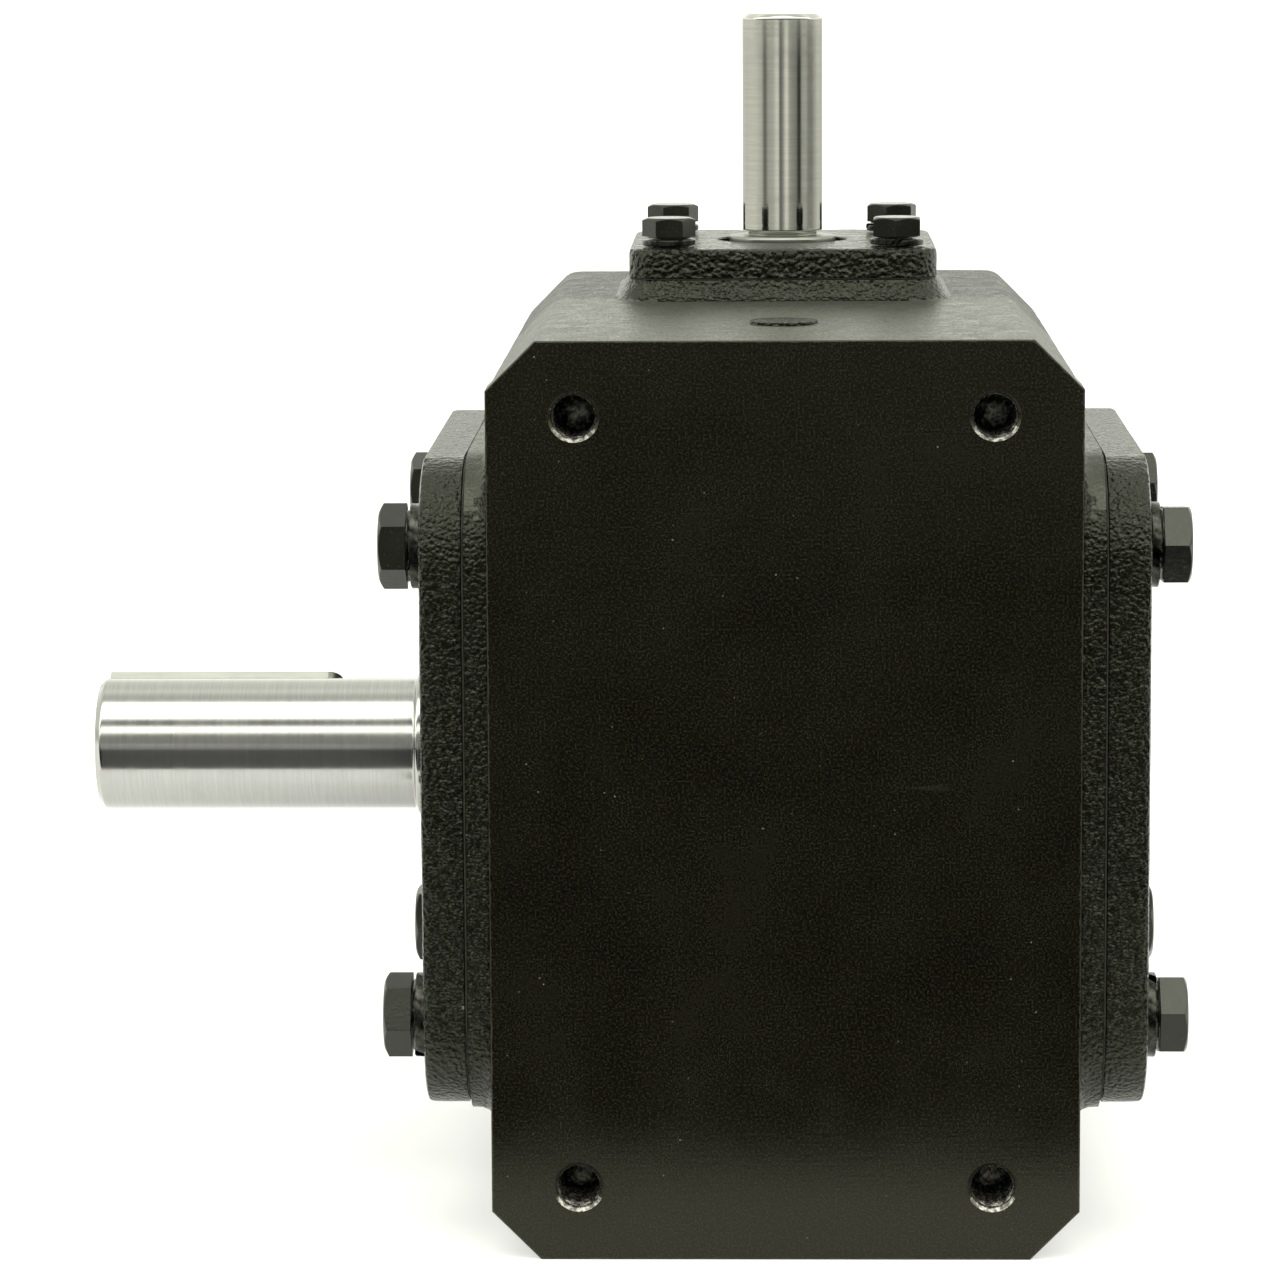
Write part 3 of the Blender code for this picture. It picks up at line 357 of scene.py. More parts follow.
def cast_paint(name, peel=0.34, grain=1.2, gloss=(0.10, 0.22), glint_share=0.5, glint_grey=0.050, uneven=0.5,
               smooth_lit_front=False):
    """Black paint over a sand casting: orange peel, pits, a few chips down to bare metal, and pale flecks painted in as
    glints.
    """
    t = Tree(name)
    lumps = t.cells(grain, "SMOOTH_F1")
    coarse = t.noise(grain * 1.5, 2.0, 0.55, distortion=0.6)
    fine = t.noise(grain * 0.55, 3.0, 0.65)
    height = t.math("ADD", t.remap(lumps, 0.75, 0.05), t.math("MULTIPLY", coarse, 1.3))
    height = t.math("ADD", height, t.math("MULTIPLY", fine, 0.6))
    broad = t.noise(26, 3.0)
    roughness = t.remap(t.noise(5.0, 4.0, 0.6), 0.3, 0.7, *gloss)
    if smooth_lit_front:
        # Towards the front of the top the bump calms, and further down the base colour there is painted lighter as a
        # painted highlight.
        calm_lit_front = t.remap(t.split()[1], 150, 128)
        roughness = t.math("ADD", roughness, t.remap(fine, 0.40, 0.66, 0.0, 0.26))
        height = t.math("MULTIPLY", height, t.math("SUBTRACT", 1.0, t.math("MULTIPLY", calm_lit_front, 0.6)))
    normal = t.bump(height, peel, 1.0, t.bump(broad, 0.5, uneven))
    chip = t.math("MULTIPLY", t.remap(t.cells(9.0, "F1"), 0.06, 0.03), t.remap(t.noise(40, 1.0), 0.60, 0.66))
    # The pale flecks laid into the base colour are painted glints: the sparkle of the peel, painted in.
    painted_glints = t.math("MULTIPLY", t.remap(t.noise(grain * 0.8, 2.0, 0.55), 0.57, 0.68), glint_share)
    colour = t.blend(t.remap(broad, 0.35, 0.7), (0.0020, 0.0017, 0.0008), (0.0032, 0.0029, 0.0016))
    colour = t.blend(painted_glints, colour, (glint_grey, glint_grey, glint_grey * 0.80))
    if smooth_lit_front:
        # Painted highlight: the front of the top is painted lighter.
        colour = t.blend(t.math("MULTIPLY", calm_lit_front, 0.7), colour, (0.050, 0.051, 0.042))
    colour = t.blend(chip, colour, (0.42, 0.37, 0.25))
    return t.finish(colour, roughness, t.math("MULTIPLY", chip, 0.8), normal, Specular_IOR_Level=0.31,
                    Specular_Tint=(0.94, 1.0, 0.80, 1.0))


def machined_paint(name):
    """Thin paint over a milled face: fine grain, dust specks, a few scratches and rubbed corners."""
    t = Tree(name)
    grain = t.noise(0.55, 3.0, 0.65)
    cloud = t.noise(34, 4.0, 0.6)
    x, _, z = t.split()[:3]
    milled = t.noise(0.9, 2.0, 0.6, t.mapped(t.position, (0.06, 1.0, 1.0), (0, 0.62, 0)))
    specks = t.math("MULTIPLY", t.remap(t.cells(3.6), 0.075, 0.03), t.remap(t.noise(17, 2.0), 0.52, 0.62))
    long_way = t.mapped(t.position, (0.035, 1.0, 1.1), (0, -0.45, 0))
    scratch = t.remap(t.math("ABSOLUTE", t.math("SUBTRACT", t.noise(9, 1.0, 0.4, long_way), 0.5)), 0.0016, 0.0004)
    scratch = t.math("MULTIPLY", scratch, t.remap(t.noise(23, 2.0), 0.60, 0.66))
    across = t.math("MAXIMUM", t.math("SUBTRACT", t.math("ABSOLUTE", x), HALF_WIDTH),
                    t.math("SUBTRACT", t.math("ABSOLUTE", z), HALF_HEIGHT))
    corner = t.math("MULTIPLY", t.math("SUBTRACT", t.math("ADD", t.math("ABSOLUTE", x), t.math("ABSOLUTE", z)),
                                       HALF_WIDTH + HALF_HEIGHT - CHAMFER), 0.7071)
    edge = t.math("MAXIMUM", across, corner)
    worn = t.remap(t.math("ADD", edge, t.math("MULTIPLY", t.noise(3.5, 4.0, 0.7), 1.6)), 0.30, 0.62)
    colour = t.blend(t.remap(cloud, 0.35, 0.65), (0.0015, 0.0010, 0.0003), (0.0027, 0.0021, 0.0008))
    colour = t.blend(t.math("MULTIPLY", t.remap(grain, 0.46, 0.62), 0.9), colour, (0.0125, 0.0112, 0.0072))
    colour = t.blend(t.math("MULTIPLY", scratch, 0.35), colour, (0.018, 0.017, 0.013))
    colour = t.blend(t.math("MULTIPLY", worn, 0.55), colour, (0.040, 0.038, 0.030))
    colour = t.blend(specks, colour, (0.15, 0.145, 0.12))
    roughness = t.remap(t.math("ADD", cloud, t.math("MULTIPLY", grain, 0.5)), 0.5, 1.0, 0.19, 0.30)
    height = t.math("ADD", grain, t.math("MULTIPLY", milled, 0.8))
    normal = t.bump(height, 0.03, 0.9, t.bump(cloud, 0.25, 0.5))
    return t.finish(colour, roughness, 0.0, normal, Specular_IOR_Level=0.33, Specular_Tint=(0.98, 1.0, 0.80, 1.0))


def thread_metal(name):
    """Tapped cast iron with paint in the roots and bright crests."""
    t = Tree(name)
    grain = t.noise(1.1, 3.0, 0.6)
    colour = t.blend(t.remap(grain, 0.40, 0.66), (0.050, 0.047, 0.040), (0.320, 0.315, 0.280))
    return t.finish(colour, t.remap(grain, 0.3, 0.7, 0.18, 0.32), 0.75, t.bump(grain, 0.05))


def ground_steel(name, stretch, tint=(0.45, 0.45, 0.435), gloss=(0.13, 0.18)):
    """Ground shaft steel. `stretch` is small along the grinding lines and large across them."""
    t = Tree(name)
    across = t.mapped(t.position, stretch)
    lines = t.noise(0.55, 4.0, 0.65, across)
    bands = t.noise(3.0, 3.0, 0.6, across)
    blotch = t.noise(7.0, 4.0, 0.65)
    nick = t.math("MULTIPLY", t.remap(t.cells(8.0), 0.08, 0.03), t.remap(t.noise(30, 1.0), 0.52, 0.60))
    low = tuple(c * 0.90 for c in tint)
    colour = t.blend(t.remap(lines, 0.30, 0.72), low, tint)
    colour = t.blend(t.math("MULTIPLY", t.remap(blotch, 0.50, 0.78), 0.35), colour, tuple(c * 0.78 for c in tint))
    colour = t.blend(t.math("MULTIPLY", nick, 0.6), colour, (0.25, 0.24, 0.20))
    roughness = t.remap(t.math("ADD", bands, t.math("MULTIPLY", blotch, 0.6)), 0.5, 1.1, *gloss)
    return t.finish(colour, roughness, 1.0, t.bump(lines, 0.003, 0.7, t.bump(blotch, 0.02, 0.2)))


def black_oxide(name):
    t = Tree(name)
    grain = t.noise(0.9, 4.0, 0.65)
    cloud = t.noise(6.0, 3.0)
    colour = t.blend(t.remap(cloud, 0.35, 0.7), (0.0028, 0.0026, 0.0018), (0.0062, 0.0060, 0.0046))
    colour = t.blend(t.math("MULTIPLY", t.remap(grain, 0.60, 0.74), 0.5), colour, (0.060, 0.058, 0.050))
    return t.finish(colour, t.remap(grain, 0.3, 0.7, 0.14, 0.26), 0.0, t.bump(grain, 0.05, 0.7),
                    Specular_IOR_Level=0.42, Specular_Tint=(0.96, 1.0, 0.88, 1.0))


def plain_metal(name, dark, light, roughness, size=1.6, stretch=(1, 1, 1), metallic=1.0, relief=0.03):
    t = Tree(name)
    grain = t.noise(size, 4.0, 0.6, t.mapped(t.position, stretch))
    cloud = t.noise(size * 7, 3.0)
    colour = t.blend(t.remap(grain, 0.3, 0.7), dark, light)
    colour = t.blend(t.math("MULTIPLY", t.remap(cloud, 0.5, 0.75), 0.4), colour, tuple(c * 0.7 for c in dark))
    return t.finish(colour, t.remap(grain, 0.3, 0.7, roughness * 0.75, roughness * 1.25), metallic,
                    t.bump(grain, relief))


def soft_sheet(name, dark, light, roughness, size):
    t = Tree(name)
    fibre = t.noise(size, 5.0, 0.7, distortion=0.8)
    colour = t.blend(t.remap(fibre, 0.3, 0.7), dark, light)
    return t.finish(colour, t.remap(fibre, 0.3, 0.7, roughness * 0.8, min(1.0, roughness * 1.2)), 0.0,
                    t.bump(fibre, 0.05))


CAST = cast_paint("black_cast_paint", peel=0.32, grain=1.05, glint_share=0.34)
ROUGH_CAST = cast_paint("black_cap_paint", peel=0.55, grain=1.3, glint_share=0.40, glint_grey=0.07)
# Paint for upward faces: finer peel, more painted glints and a painted lighter front.
SMOOTH_LIT_CAST = cast_paint("black_housing_paint", 0.24, 0.95, (0.22, 0.34), 0.8, 0.07, 0.12, True)
FACE = machined_paint("black_machined_paint")
THREADS = thread_metal("tapped_iron")
SHAFT_X = ground_steel("ground_steel_output", (1.0, 0.03, 0.03))
SHAFT_Z = ground_steel("ground_steel_input", (0.03, 0.03, 1.0), (0.60, 0.60, 0.55), (0.07, 0.12))
KEY = ground_steel("key_steel", (0.05, 0.6, 0.6), (0.27, 0.275, 0.250), (0.30, 0.40))
OXIDE = black_oxide("black_oxide_steel")
SPRING = plain_metal("spring_steel", (0.018, 0.018, 0.015), (0.065, 0.065, 0.057), 0.26)
BEARING = plain_metal("bearing_steel", (0.52, 0.52, 0.50), (0.70, 0.70, 0.68), 0.16, 0.8, relief=0.004)
BRONZE = plain_metal("gear_bronze", (0.42, 0.24, 0.08), (0.66, 0.42, 0.17), 0.30, 1.2, (3, 1, 1))
IRON = plain_metal("hub_iron", (0.045, 0.043, 0.040), (0.12, 0.115, 0.11), 0.55, 1.8, relief=0.12)
RUBBER = soft_sheet("seal_rubber", (0.006, 0.006, 0.006), (0.018, 0.018, 0.017), 0.55, 0.8)
GASKET = soft_sheet("gasket_fibre", (0.020, 0.018, 0.013), (0.055, 0.049, 0.036), 0.85, 0.7)


# ---------------------------------------------------------------- housing


def tapped_hole(x, z, depth=25.0, mouth=6.5, minor=5.35, major=6.25, pitch=1.954, sink=1.15, steps=40,
                per_turn=8):
    """Wall of a countersunk, helically threaded hole in the mounting face, with the drill's cone at its end."""
    bm = bmesh.new()
    count = int(depth / pitch * per_turn)
    rows = []
    for k in range(count + 1):
        y = 0.02 + depth * k / count
        row = []
        for i in range(steps):
            phase = (y / pitch - i / steps) % 1.0
            ridge = min(1.0, abs(phase - 0.5) * 2.6)
            radius = minor + (major - minor) * ridge * min(1.0, max(0.0, y - sink) / 1.2)
            radius = max(radius, mouth - (mouth - minor) * y / sink)
            angle = math.tau * i / steps
            row.append(bm.verts.new((x + radius * math.cos(angle), y, z + radius * math.sin(angle))))
        rows.append(row)
    for a, b in zip(rows, rows[1:]):
        for i in range(steps):
            j = (i + 1) % steps
            bm.faces.new((a[i], a[j], b[j], b[i]))
    tip = bm.verts.new((x, depth + 3, z))
    for i in range(steps):
        bm.faces.new((rows[-1][i], rows[-1][(i + 1) % steps], tip))
    hole = to_object(bm, "tapped_hole")
    hole.data.flip_normals()
    return hole


def corners(half):
    return [(half, -half), (-half, -half), (half, half), (-half, half)]


def housing():
    """The casting with its machined faces, bores, tapped holes and the low pad on its top."""
    body = block("housing_casting", (-HALF_WIDTH, 1, -HALF_HEIGHT), (HALF_WIDTH, DEPTH, HALF_HEIGHT), CHAMFER, "Y", 1)
    half = 85.1
    boss = block("side_boss", (-84, OUTPUT_Y - half, OUTPUT_Z - half),
                 (84, OUTPUT_Y + half, OUTPUT_Z + half), 26.3, "X")
    boolean(body, boss, "UNION")
    half = 43.4
    cap_boss = block("cap_boss", (-half, INPUT_Y - half, 112), (half, INPUT_Y + half, 126), 11.0)
    for vertex in cap_boss.data.vertices:
        draft = 1 - 0.0095 * (vertex.co.z / MM - 120)
        vertex.co.x *= draft
        vertex.co.y = INPUT_Y * MM + (vertex.co.y - INPUT_Y * MM) * draft
    boolean(body, cap_boss, "UNION")
    soften(body, 1.75, 3, 0.08)
    front = block("front_rim", (-HALF_WIDTH, 0, -HALF_HEIGHT), (HALF_WIDTH, 14, HALF_HEIGHT), CHAMFER, "Y", 1)
    for vertex in front.data.vertices:
        grown = 0.06 if vertex.co.y < 0.007 else -0.12
        vertex.co.x += math.copysign(grown * MM, vertex.co.x)
        vertex.co.z += math.copysign(grown * MM, vertex.co.z)
    boolean(body, front, "UNION")
    slice_flat(body, (0, 0, 122.8), (0, 0, 1))
    for side in (-1, 1):
        slice_flat(body, (side * 80.4, 0, 0), (side, 0, 0))

    tools = block("cavity", (-62.1, 12.5, -86), (62.1, DEPTH - 12.5, 86), 12, "X", 3)
    opening = lathe("opening", [(0, -90), (72.6, -90), (72.6, 90), (0, 90)], TOWARDS_OUTPUT)
    bore = lathe("bore", [(0, -125), (29.9, -125), (29.9, -114.8), (31.7, -114.8), (31.7, -112.7), (29.9, -112.7),
                          (29.9, 130), (0, 130)], UP)
    boolean(tools, opening, "UNION")
    boolean(tools, bore, "UNION")
    for name in BACK_PLUGS:
        low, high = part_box(name)
        hole = lathe("hole", [(0, 0), (8.2, 0), (8.2, 30), (0, 30)], steps=32, matrix=Matrix.Translation(
            ((low.x + high.x) / 2 / MM, DEPTH + 10, (low.z + high.z) / 2 / MM)) @ Matrix.Rotation(math.pi / 2, 4, "X"))
        boolean(tools, hole, "UNION")
    loose = []
    for x, z in MOUNT_HOLES:
        loose.append(lathe("hole", [(0, -2), (6.45, -2), (6.45, 27.5), (0, 30)], steps=40,
                           matrix=Matrix.Translation((x, 0, z)) @ Matrix.Rotation(-math.pi / 2, 4, "X")))
    for side in (TOWARDS_OUTPUT, AWAY_FROM_OUTPUT):
        for x, y in corners(COVER_BOLT_SQUARE):
            loose.append(lathe("hole", [(0, 65.5), (6.5, 65.5), (6.5, 90), (0, 90)],
                               side @ Matrix.Translation((x, y, 0)), 20))
    for x, y in corners(CAP_BOLT_SQUARE):
        loose.append(lathe("hole", [(0, 104.5), (4.15, 104.5), (4.15, 130), (0, 130)],
                           UP @ Matrix.Translation((x, y, 0)), 20))
    merge(tools, *loose)
    boolean(body, tools)

    bm = bmesh.new()
    bm.from_mesh(body.data)
    rim = [e for e in bm.edges if e.calc_face_angle(0) > 0.5 and all(abs(v.co.y) < 1e-6 for v in e.verts)
           and max(abs(e.verts[0].co.x) - 0.060, abs(e.verts[0].co.z) - 0.106) > 0]
    bmesh.ops.bevel(bm, geom=rim, offset=0.35 * MM, segments=2, profile=0.5, affect="EDGES", clamp_overlap=True)
    bm.to_mesh(body.data)
    bm.free()

    holes = [tapped_hole(x, z) for x, z in MOUNT_HOLES]
    pad = lathe("top_pad", rounded([(0, 118.05), (8.8, 118.05), (8.8, 116.5)], 0.3) + [(0, 116.5)],
                Matrix.Translation((0, 52, 0)), 64)
    first_hole = len(body.data.polygons)
    merge(body, *holes)
    first_pad = len(body.data.polygons)
    merge(body, pad)
    show(body, [CAST, FACE, THREADS, SMOOTH_LIT_CAST], "casing", "black_paint", "housing")
    for polygon in body.data.polygons:
        if first_hole <= polygon.index < first_pad:
            painted = polygon.center.y < 0.0009 and polygon.normal.z < 0.35
            polygon.material_index = FACE_SLOT if painted else THREAD_SLOT
        elif polygon.center.y < 0.0004 and polygon.normal.y < -0.5:
            polygon.material_index = FACE_SLOT
            polygon.use_smooth = polygon.normal.y > -0.999
        # Upward faces take the smooth paint, with its painted glints and painted lighter front.
        elif polygon.normal.z > 0.5 and polygon.center.z < 0.1176:
            polygon.material_index = CALM_LIT_SLOT
        else:
            polygon.material_index = CAST_SLOT
    return body


# ---------------------------------------------------------------- covers and cap


def side_cover(name, side, seal_hole):
    half = 83.8
    plate = block(name + "_casting", (-half, -half, 74), (half, half, 92), 25, matrix=side)
    soften(plate, 1.5, 6, 0.07, 11)
    normal = side.to_3x3() @ Vector((0, 0, -1))
    slice_flat(plate, side @ Vector((0, 0, 81.3)), normal)
    hub = lathe("hub", [(0, 83), (72.3, 83), (72.3, 73.3), (47, 73.3), (47, 60), (0, 60)], side)
    boolean(plate, hub, "UNION")
    if seal_hole:
        pocket = [(0, 95), (29.6, 95), (29.6, 92.5), (28.825, 91.2), (28.825, 82.6), (24.8, 82.6), (24.8, 80.3)]
    else:
        pocket = [(0, 84.3), (28.8, 84.3), (28.8, 80.3)]
    tools = lathe("pocket", pocket + [(36.97, 80.3), (36.97, 59), (0, 59)], side)
    holes = [lathe("hole", [(0, 70), (6.5, 70), (6.5, 95), (0, 95)], side @ Matrix.Translation((x, y, 0)), 32)
             for x, y in corners(COVER_BOLT_SQUARE)]
    merge(tools, *holes)
    weld(boolean(plate, tools))
    return show(plate, CAST, "casing", "black_paint", name)


def bearing_cap():
    half = 42.1
    plate = block("bearing_cap_casting", (-half, -half, 116), (half, half, 131.3), 9, matrix=UP)
    soften(plate, 0.85, 12, 0.12, 6)
    slice_flat(plate, (0, 0, 123.45), (0, 0, -1))
    pilot = lathe("pilot", [(0, 125), (29.6, 125), (29.6, 112), (0, 112)], UP)
    boolean(plate, pilot, "UNION")
    tools = lathe("cap_bore", [(0, 135), (18.6, 135), (18.6, 131.6), (18, 130.9), (18, 129.3), (22.25, 129.3),
                               (22.25, 120), (23.5, 120), (23.5, 111), (0, 111)], UP)
    holes = [lathe("hole", [(0, 110), (4.15, 110), (4.15, 140), (0, 140)], UP @ Matrix.Translation((x, y, 0)), 24)
             for x, y in corners(CAP_BOLT_SQUARE)]
    merge(tools, *holes)
    weld(boolean(plate, tools))
    return show(plate, ROUGH_CAST, "casing", "black_paint", "input_bearing_cap")


def seals():
    low, high = 120.3, 129.0
    seal = lathe("input_lip_seal", rounded([(15.25, high), (22, high), (22, low), (18.5, low), (15.05, low + 1.2),
                                            (15.05, low + 3.2), (16.2, low + 4.7), (15.25, low + 7.2)], 0.3),
                 UP, ring=True)
    show(seal, RUBBER, "casing", "seal_rubber", "input_oil_seal")
    low, high = 82.9, 91.7
    seal = lathe("output_lip_seal", rounded([(19.65, high), (21.6, high), (22.4, high - 1.4), (25.6, high - 1.4),
                                             (26.4, high), (28.55, high), (28.55, low), (24.6, low), (19.35, low + 1.2),
                                             (19.35, low + 3.2), (20.85, low + 5)], 0.3), TOWARDS_OUTPUT, ring=True)
    show(seal, RUBBER, "casing", "seal_rubber", "output_oil_seal")


# ---------------------------------------------------------------- fasteners


def axis_frame(node, axis):
    """Frame at a fastener: centred on its hole's axis, local +Z pointing out of the part, turned with its head."""
    low, high = (Vector(c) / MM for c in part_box(node))
    centre = (low + high) / 2
    outwards = Vector({"-X": (-1, 0, 0), "+X": (1, 0, 0), "+Z": (0, 0, 1), "+Y": (0, 1, 0)}[axis])
    mesh = nodes[node].data
    points = [v.co / MM for v in mesh.vertices]
    offsets = [(p - centre) - (p - centre).dot(outwards) * outwards for p in points]
    far = max(offsets, key=lambda v: round(v.length, 3))
    x_axis = far.normalized()
    y_axis = outwards.cross(x_axis)
    matrix = Matrix((x_axis, y_axis, outwards)).transposed().to_4x4()
    heights = [p.dot(outwards) for p in points]
    base = centre - centre.dot(outwards) * outwards
    matrix.translation = base
    return matrix, min(heights), max(heights)


def hex_head(name, flats, low, high, matrix, washer_face=0.4, crown=0.93):
    """Forged hexagon head with a chamfered crown and a round bearing face."""
    bm = bmesh.new()
    bmesh.ops.create_cone(bm, cap_ends=True, segments=6, radius1=flats / math.sqrt(3), radius2=flats / math.sqrt(3),
                          depth=high - low, matrix=Matrix.Translation((0, 0, (low + high) / 2)))
    head = to_object(bm, name, matrix)
    half = flats / 2
    slope = math.tan(math.radians(28))
    envelope = lathe("envelope", [(0, high + 0.01), (half * crown, high + 0.01),
                                  (half * 1.25, high - half * (1.25 - crown) * slope),
                                  (half * 1.25, low + washer_face), (half * 0.96, low + washer_face),
                                  (half * 0.96, low - 0.01), (0, low - 0.01)], matrix, 72)
    boolean(head, envelope, "INTERSECT")
    return weld(bevel_edges(weld(head), 0.3, 2, 25))


def bolt(node, axis, flats, head_height, shank):
    matrix, low, high = axis_frame(node, axis)
    head = hex_head("hex_" + node, flats, high - head_height, high, matrix)
    body = lathe("shank", rounded([(0, high - head_height + 1), (shank, high - head_height + 1), (shank, low + 1),
                                   (shank - 0.9, low)], 0.1, 1) + [(0, low)], matrix, 24)
    merge(head, body)
    show(head, OXIDE, "casing", "black_oxide", node)


def split_washer(node, axis, inner, outer, thickness):
    """Helical spring washer, sprung a little open at its slanted ends."""
    matrix, low, high = axis_frame(node, axis)
    centre_height = (low + high) / 2
    bm = bmesh.new()
    steps = 56
    bite = 0.32
    rows = []
    for i in range(steps + 1):
        share = i / steps
        lift = (share - 0.5) * 0.36
        row = []
        section = [(outer, -1), (outer, 1), (inner, 1), (inner, -1)]
        for (r0, s0), (r1, s1) in zip(section, section[1:] + section[:1]):
            for t in (0.0, 1.0):
                r = r0 + (r1 - r0) * (bite / max(abs(r1 - r0), 1e-6) if r1 != r0 and t == 0 else
                                      1 - bite / max(abs(r1 - r0), 1e-6) if r1 != r0 else 0)
                s = s0 + (s1 - s0) * ((bite / thickness) if s1 != s0 and t == 0 else
                                      (1 - bite / thickness) if s1 != s0 else 0)
                height = centre_height + s * (thickness - 0.36) / 2 + lift
                angle = math.radians(8 + 344 * share + 7 * s * (1 if 0.02 < share < 0.98 else 1))
                row.append(bm.verts.new((r * math.cos(angle), r * math.sin(angle), height)))
        rows.append(row)
    for a, b in zip(rows, rows[1:]):
        for i in range(8):
            j = (i + 1) % 8
            bm.faces.new((a[i], a[j], b[j], b[i]))
    bm.faces.new(rows[0])
    bm.faces.new(list(reversed(rows[-1])))
    show(to_object(bm, "split_" + node, matrix), SPRING, "casing", "spring_steel", node)


def pipe_plug(node):
    matrix, low, high = axis_frame(node, "+Y")
    head = hex_head("hex_" + node, 17.5, high - 7.7, high, matrix, 0.2, 0.9)
    thread = []
    z = high - 7.4
    while z > low + 0.6:
        thread += [(7.75, z), (7.35, z - 0.45)]
        z -= 0.9
    body = lathe("plug_thread", [(0, high - 7)] + [(7.75, high - 7)] + thread + [(7.0, low), (0, low)], matrix, 40)
    merge(head, body)
    show(head, OXIDE, "casing", "black_oxide", node)


def fasteners():
    for side, axis in (("output", "-X"), ("blind", "+X")):
        for number in range(1, 5):
            bolt(f"{side}_cover_bolt_{number}", axis, 19.05, 7.6, 6.2)
            split_washer(f"{side}_cover_lock_washer_{number}", axis, 6.6, 10.9, 3.0)
    for number in range(1, 5):
        bolt(f"cap_bolt_{number}", "+Z", 12.7, 5.5, 3.85)
        split_washer(f"cap_lock_washer_{number}", "+Z", 4.25, 7.3, 2.0)
    for node in BACK_PLUGS:
        pipe_plug(node)


# ---------------------------------------------------------------- shafts and keys


def key_bar(name, inner, outer, half, low, high, matrix, square_end=False):
    """Bar with round ends; its upper end may be left square."""
    bar = block(name, (inner, -half, low), (outer, half, high), half * 0.985, "X", 10, matrix)
    if square_end:
        boolean(bar, block("end", (inner, -half, high - 2 * half), (outer, half, high), matrix=matrix), "UNION")
        weld(bar)
    return bar


def output_shaft():
    radius = OUTPUT_RADIUS
    profile = rounded([
        (0, 177.5), (2.4, 178.8), (4.2, 183), (radius - 1.6, 183), (radius, 181.4), (radius, 98.3),
        (radius + 0.3, 98.0), (18.6, 97.8), (19.05, 97.3), (19.05, 80.2), (20.64, 79.8), (20.64, 60.15),
        (25, 60.15), (25, 32), (28, 31), (28, 24.3),
        (22.225, 24.3), (22.225, -60.15), (20.64, -60.15), (20.64, -80), (19.6, -81), (0, -81)], 0.35)
    turn = Matrix.Rotation(OUTPUT_KEY_TURN, 4, "Z")
    shaft = lathe("output_shaft_ground", profile, TOWARDS_OUTPUT @ turn, 160)
    slot = key_bar("slot", radius - 4.22, radius + 5, 4.22, 117, 186, TOWARDS_OUTPUT @ turn)
    seat = key_bar("slot", 17.2, 28, 5.0125, -27, 24, TOWARDS_OUTPUT @ turn)
    boolean(shaft, merge(slot, seat))
    show(shaft, SHAFT_X, "output_assembly", "ground_steel", "output_shaft")
    key = key_bar("output_key_bar", radius - 3.97, radius + 3.77, 3.97, 119, 181.8, TOWARDS_OUTPUT @ turn, True)
    bevel_edges(key, 0.25)
    show(key, KEY, "output_assembly", "ground_steel", "output_key")


def worm_shaft():
    """The worm as packed, with its outer end turned finely and its keyway cut."""
    radius = INPUT_RADIUS
    cut_height = 126.0
    shaft = bpy.data.objects.new("worm_shaft_ground", nodes["worm_shaft"].data.copy())
    bpy.context.scene.collection.objects.link(shaft)
    slice_flat(weld(shaft), (0, INPUT_Y, cut_height), (0, 0, 1))
    end = lathe("end", rounded([(0, 189.5), (1.6, 190.6), (3.4, 194), (radius - 1.1, 194), (radius, 192.9),
                                (radius, 133.9), (radius - 1.6, 133.7), (radius - 1.6, 132.5), (14.25, 132.5),
                                (14.75, 132.0), (14.75, 118)], 0.25)
                + [(0, 118)], UP, 128)
    slot = key_bar("slot", radius - 2.63, radius + 4, 2.63, 151, 190.25, UP @ QUARTER_TURN)
    boolean(end, slot)
    merge(shaft, end)
    show(shaft, [SHAFT_Z, KEY], "worm_assembly", "ground_steel", "worm_shaft")
    for polygon in shaft.data.polygons:
        polygon.material_index = 1 if polygon.center.z < 0.1333 else 0
    key = key_bar("input_key_bar", radius - 2.38, radius + 2.28, 2.38, 152, 190, UP @ QUARTER_TURN)
    bevel_edges(key, 0.2)
    show(key, KEY, "worm_assembly", "ground_steel", "input_key")


def packed_pieces():
    """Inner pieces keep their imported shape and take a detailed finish."""
    looks = {"worm_wheel_rim": BRONZE, "worm_wheel_hub": IRON, "wheel_key": KEY, "wheel_spacer": KEY,
             "worm_end_plug": SPRING, "end_plug_retaining_ring": SPRING}
    for name, node in nodes.items():
        material = looks.get(name)
        if material is None and "bearing" in name:
            material = BEARING
        if material is None and "gasket" in name:
            material = GASKET
        if material is None:
            continue
        for entry in node.material_slots:
            entry.material = material


# ---------------------------------------------------------------- stage, light and camera


def stage():
    bm = bmesh.new()
    bmesh.ops.create_grid(bm, x_segments=1, y_segments=1, size=30000)
    floor = to_object(bm, "floor", Matrix.Translation((0, 0, -HALF_HEIGHT - 0.02)))
    t = Tree("pale_floor")
    t.finish(t.blend(t.remap(t.noise(700, 2.0), 0.3, 0.7), (0.50, 0.50, 0.49), (0.52, 0.52, 0.51)), 0.9, 0.0,
             Emission_Color=(1.0, 1.0, 0.98, 1.0), Emission_Strength=0.46)
    floor.data.materials.append(t.material)


def only_in_reflections(obj):
    obj.visible_camera = False
    obj.visible_diffuse = False
    obj.visible_shadow = False
    obj.visible_transmission = False


def glow(material, colour):
    tree = material.node_tree
    emission = tree.nodes.new("ShaderNodeEmission")
    if isinstance(colour, bpy.types.NodeSocket):
        tree.links.new(colour, emission.inputs["Color"])
    else:
        emission.inputs["Color"].default_value = colour
    output = next(n for n in tree.nodes if n.type == "OUTPUT_MATERIAL")
    tree.links.new(emission.outputs[0], output.inputs[0])


def fill_ramp(ramp, stops):
    elements = ramp.color_ramp.elements
    while len(elements) > 1:
        elements.remove(elements[-1])
    for index, (position, value) in enumerate(stops):
        element = elements[0] if index == 0 else elements.new(position)
        element.position = position
        element.color = (value * 0.99, value, value * 0.90, 1)


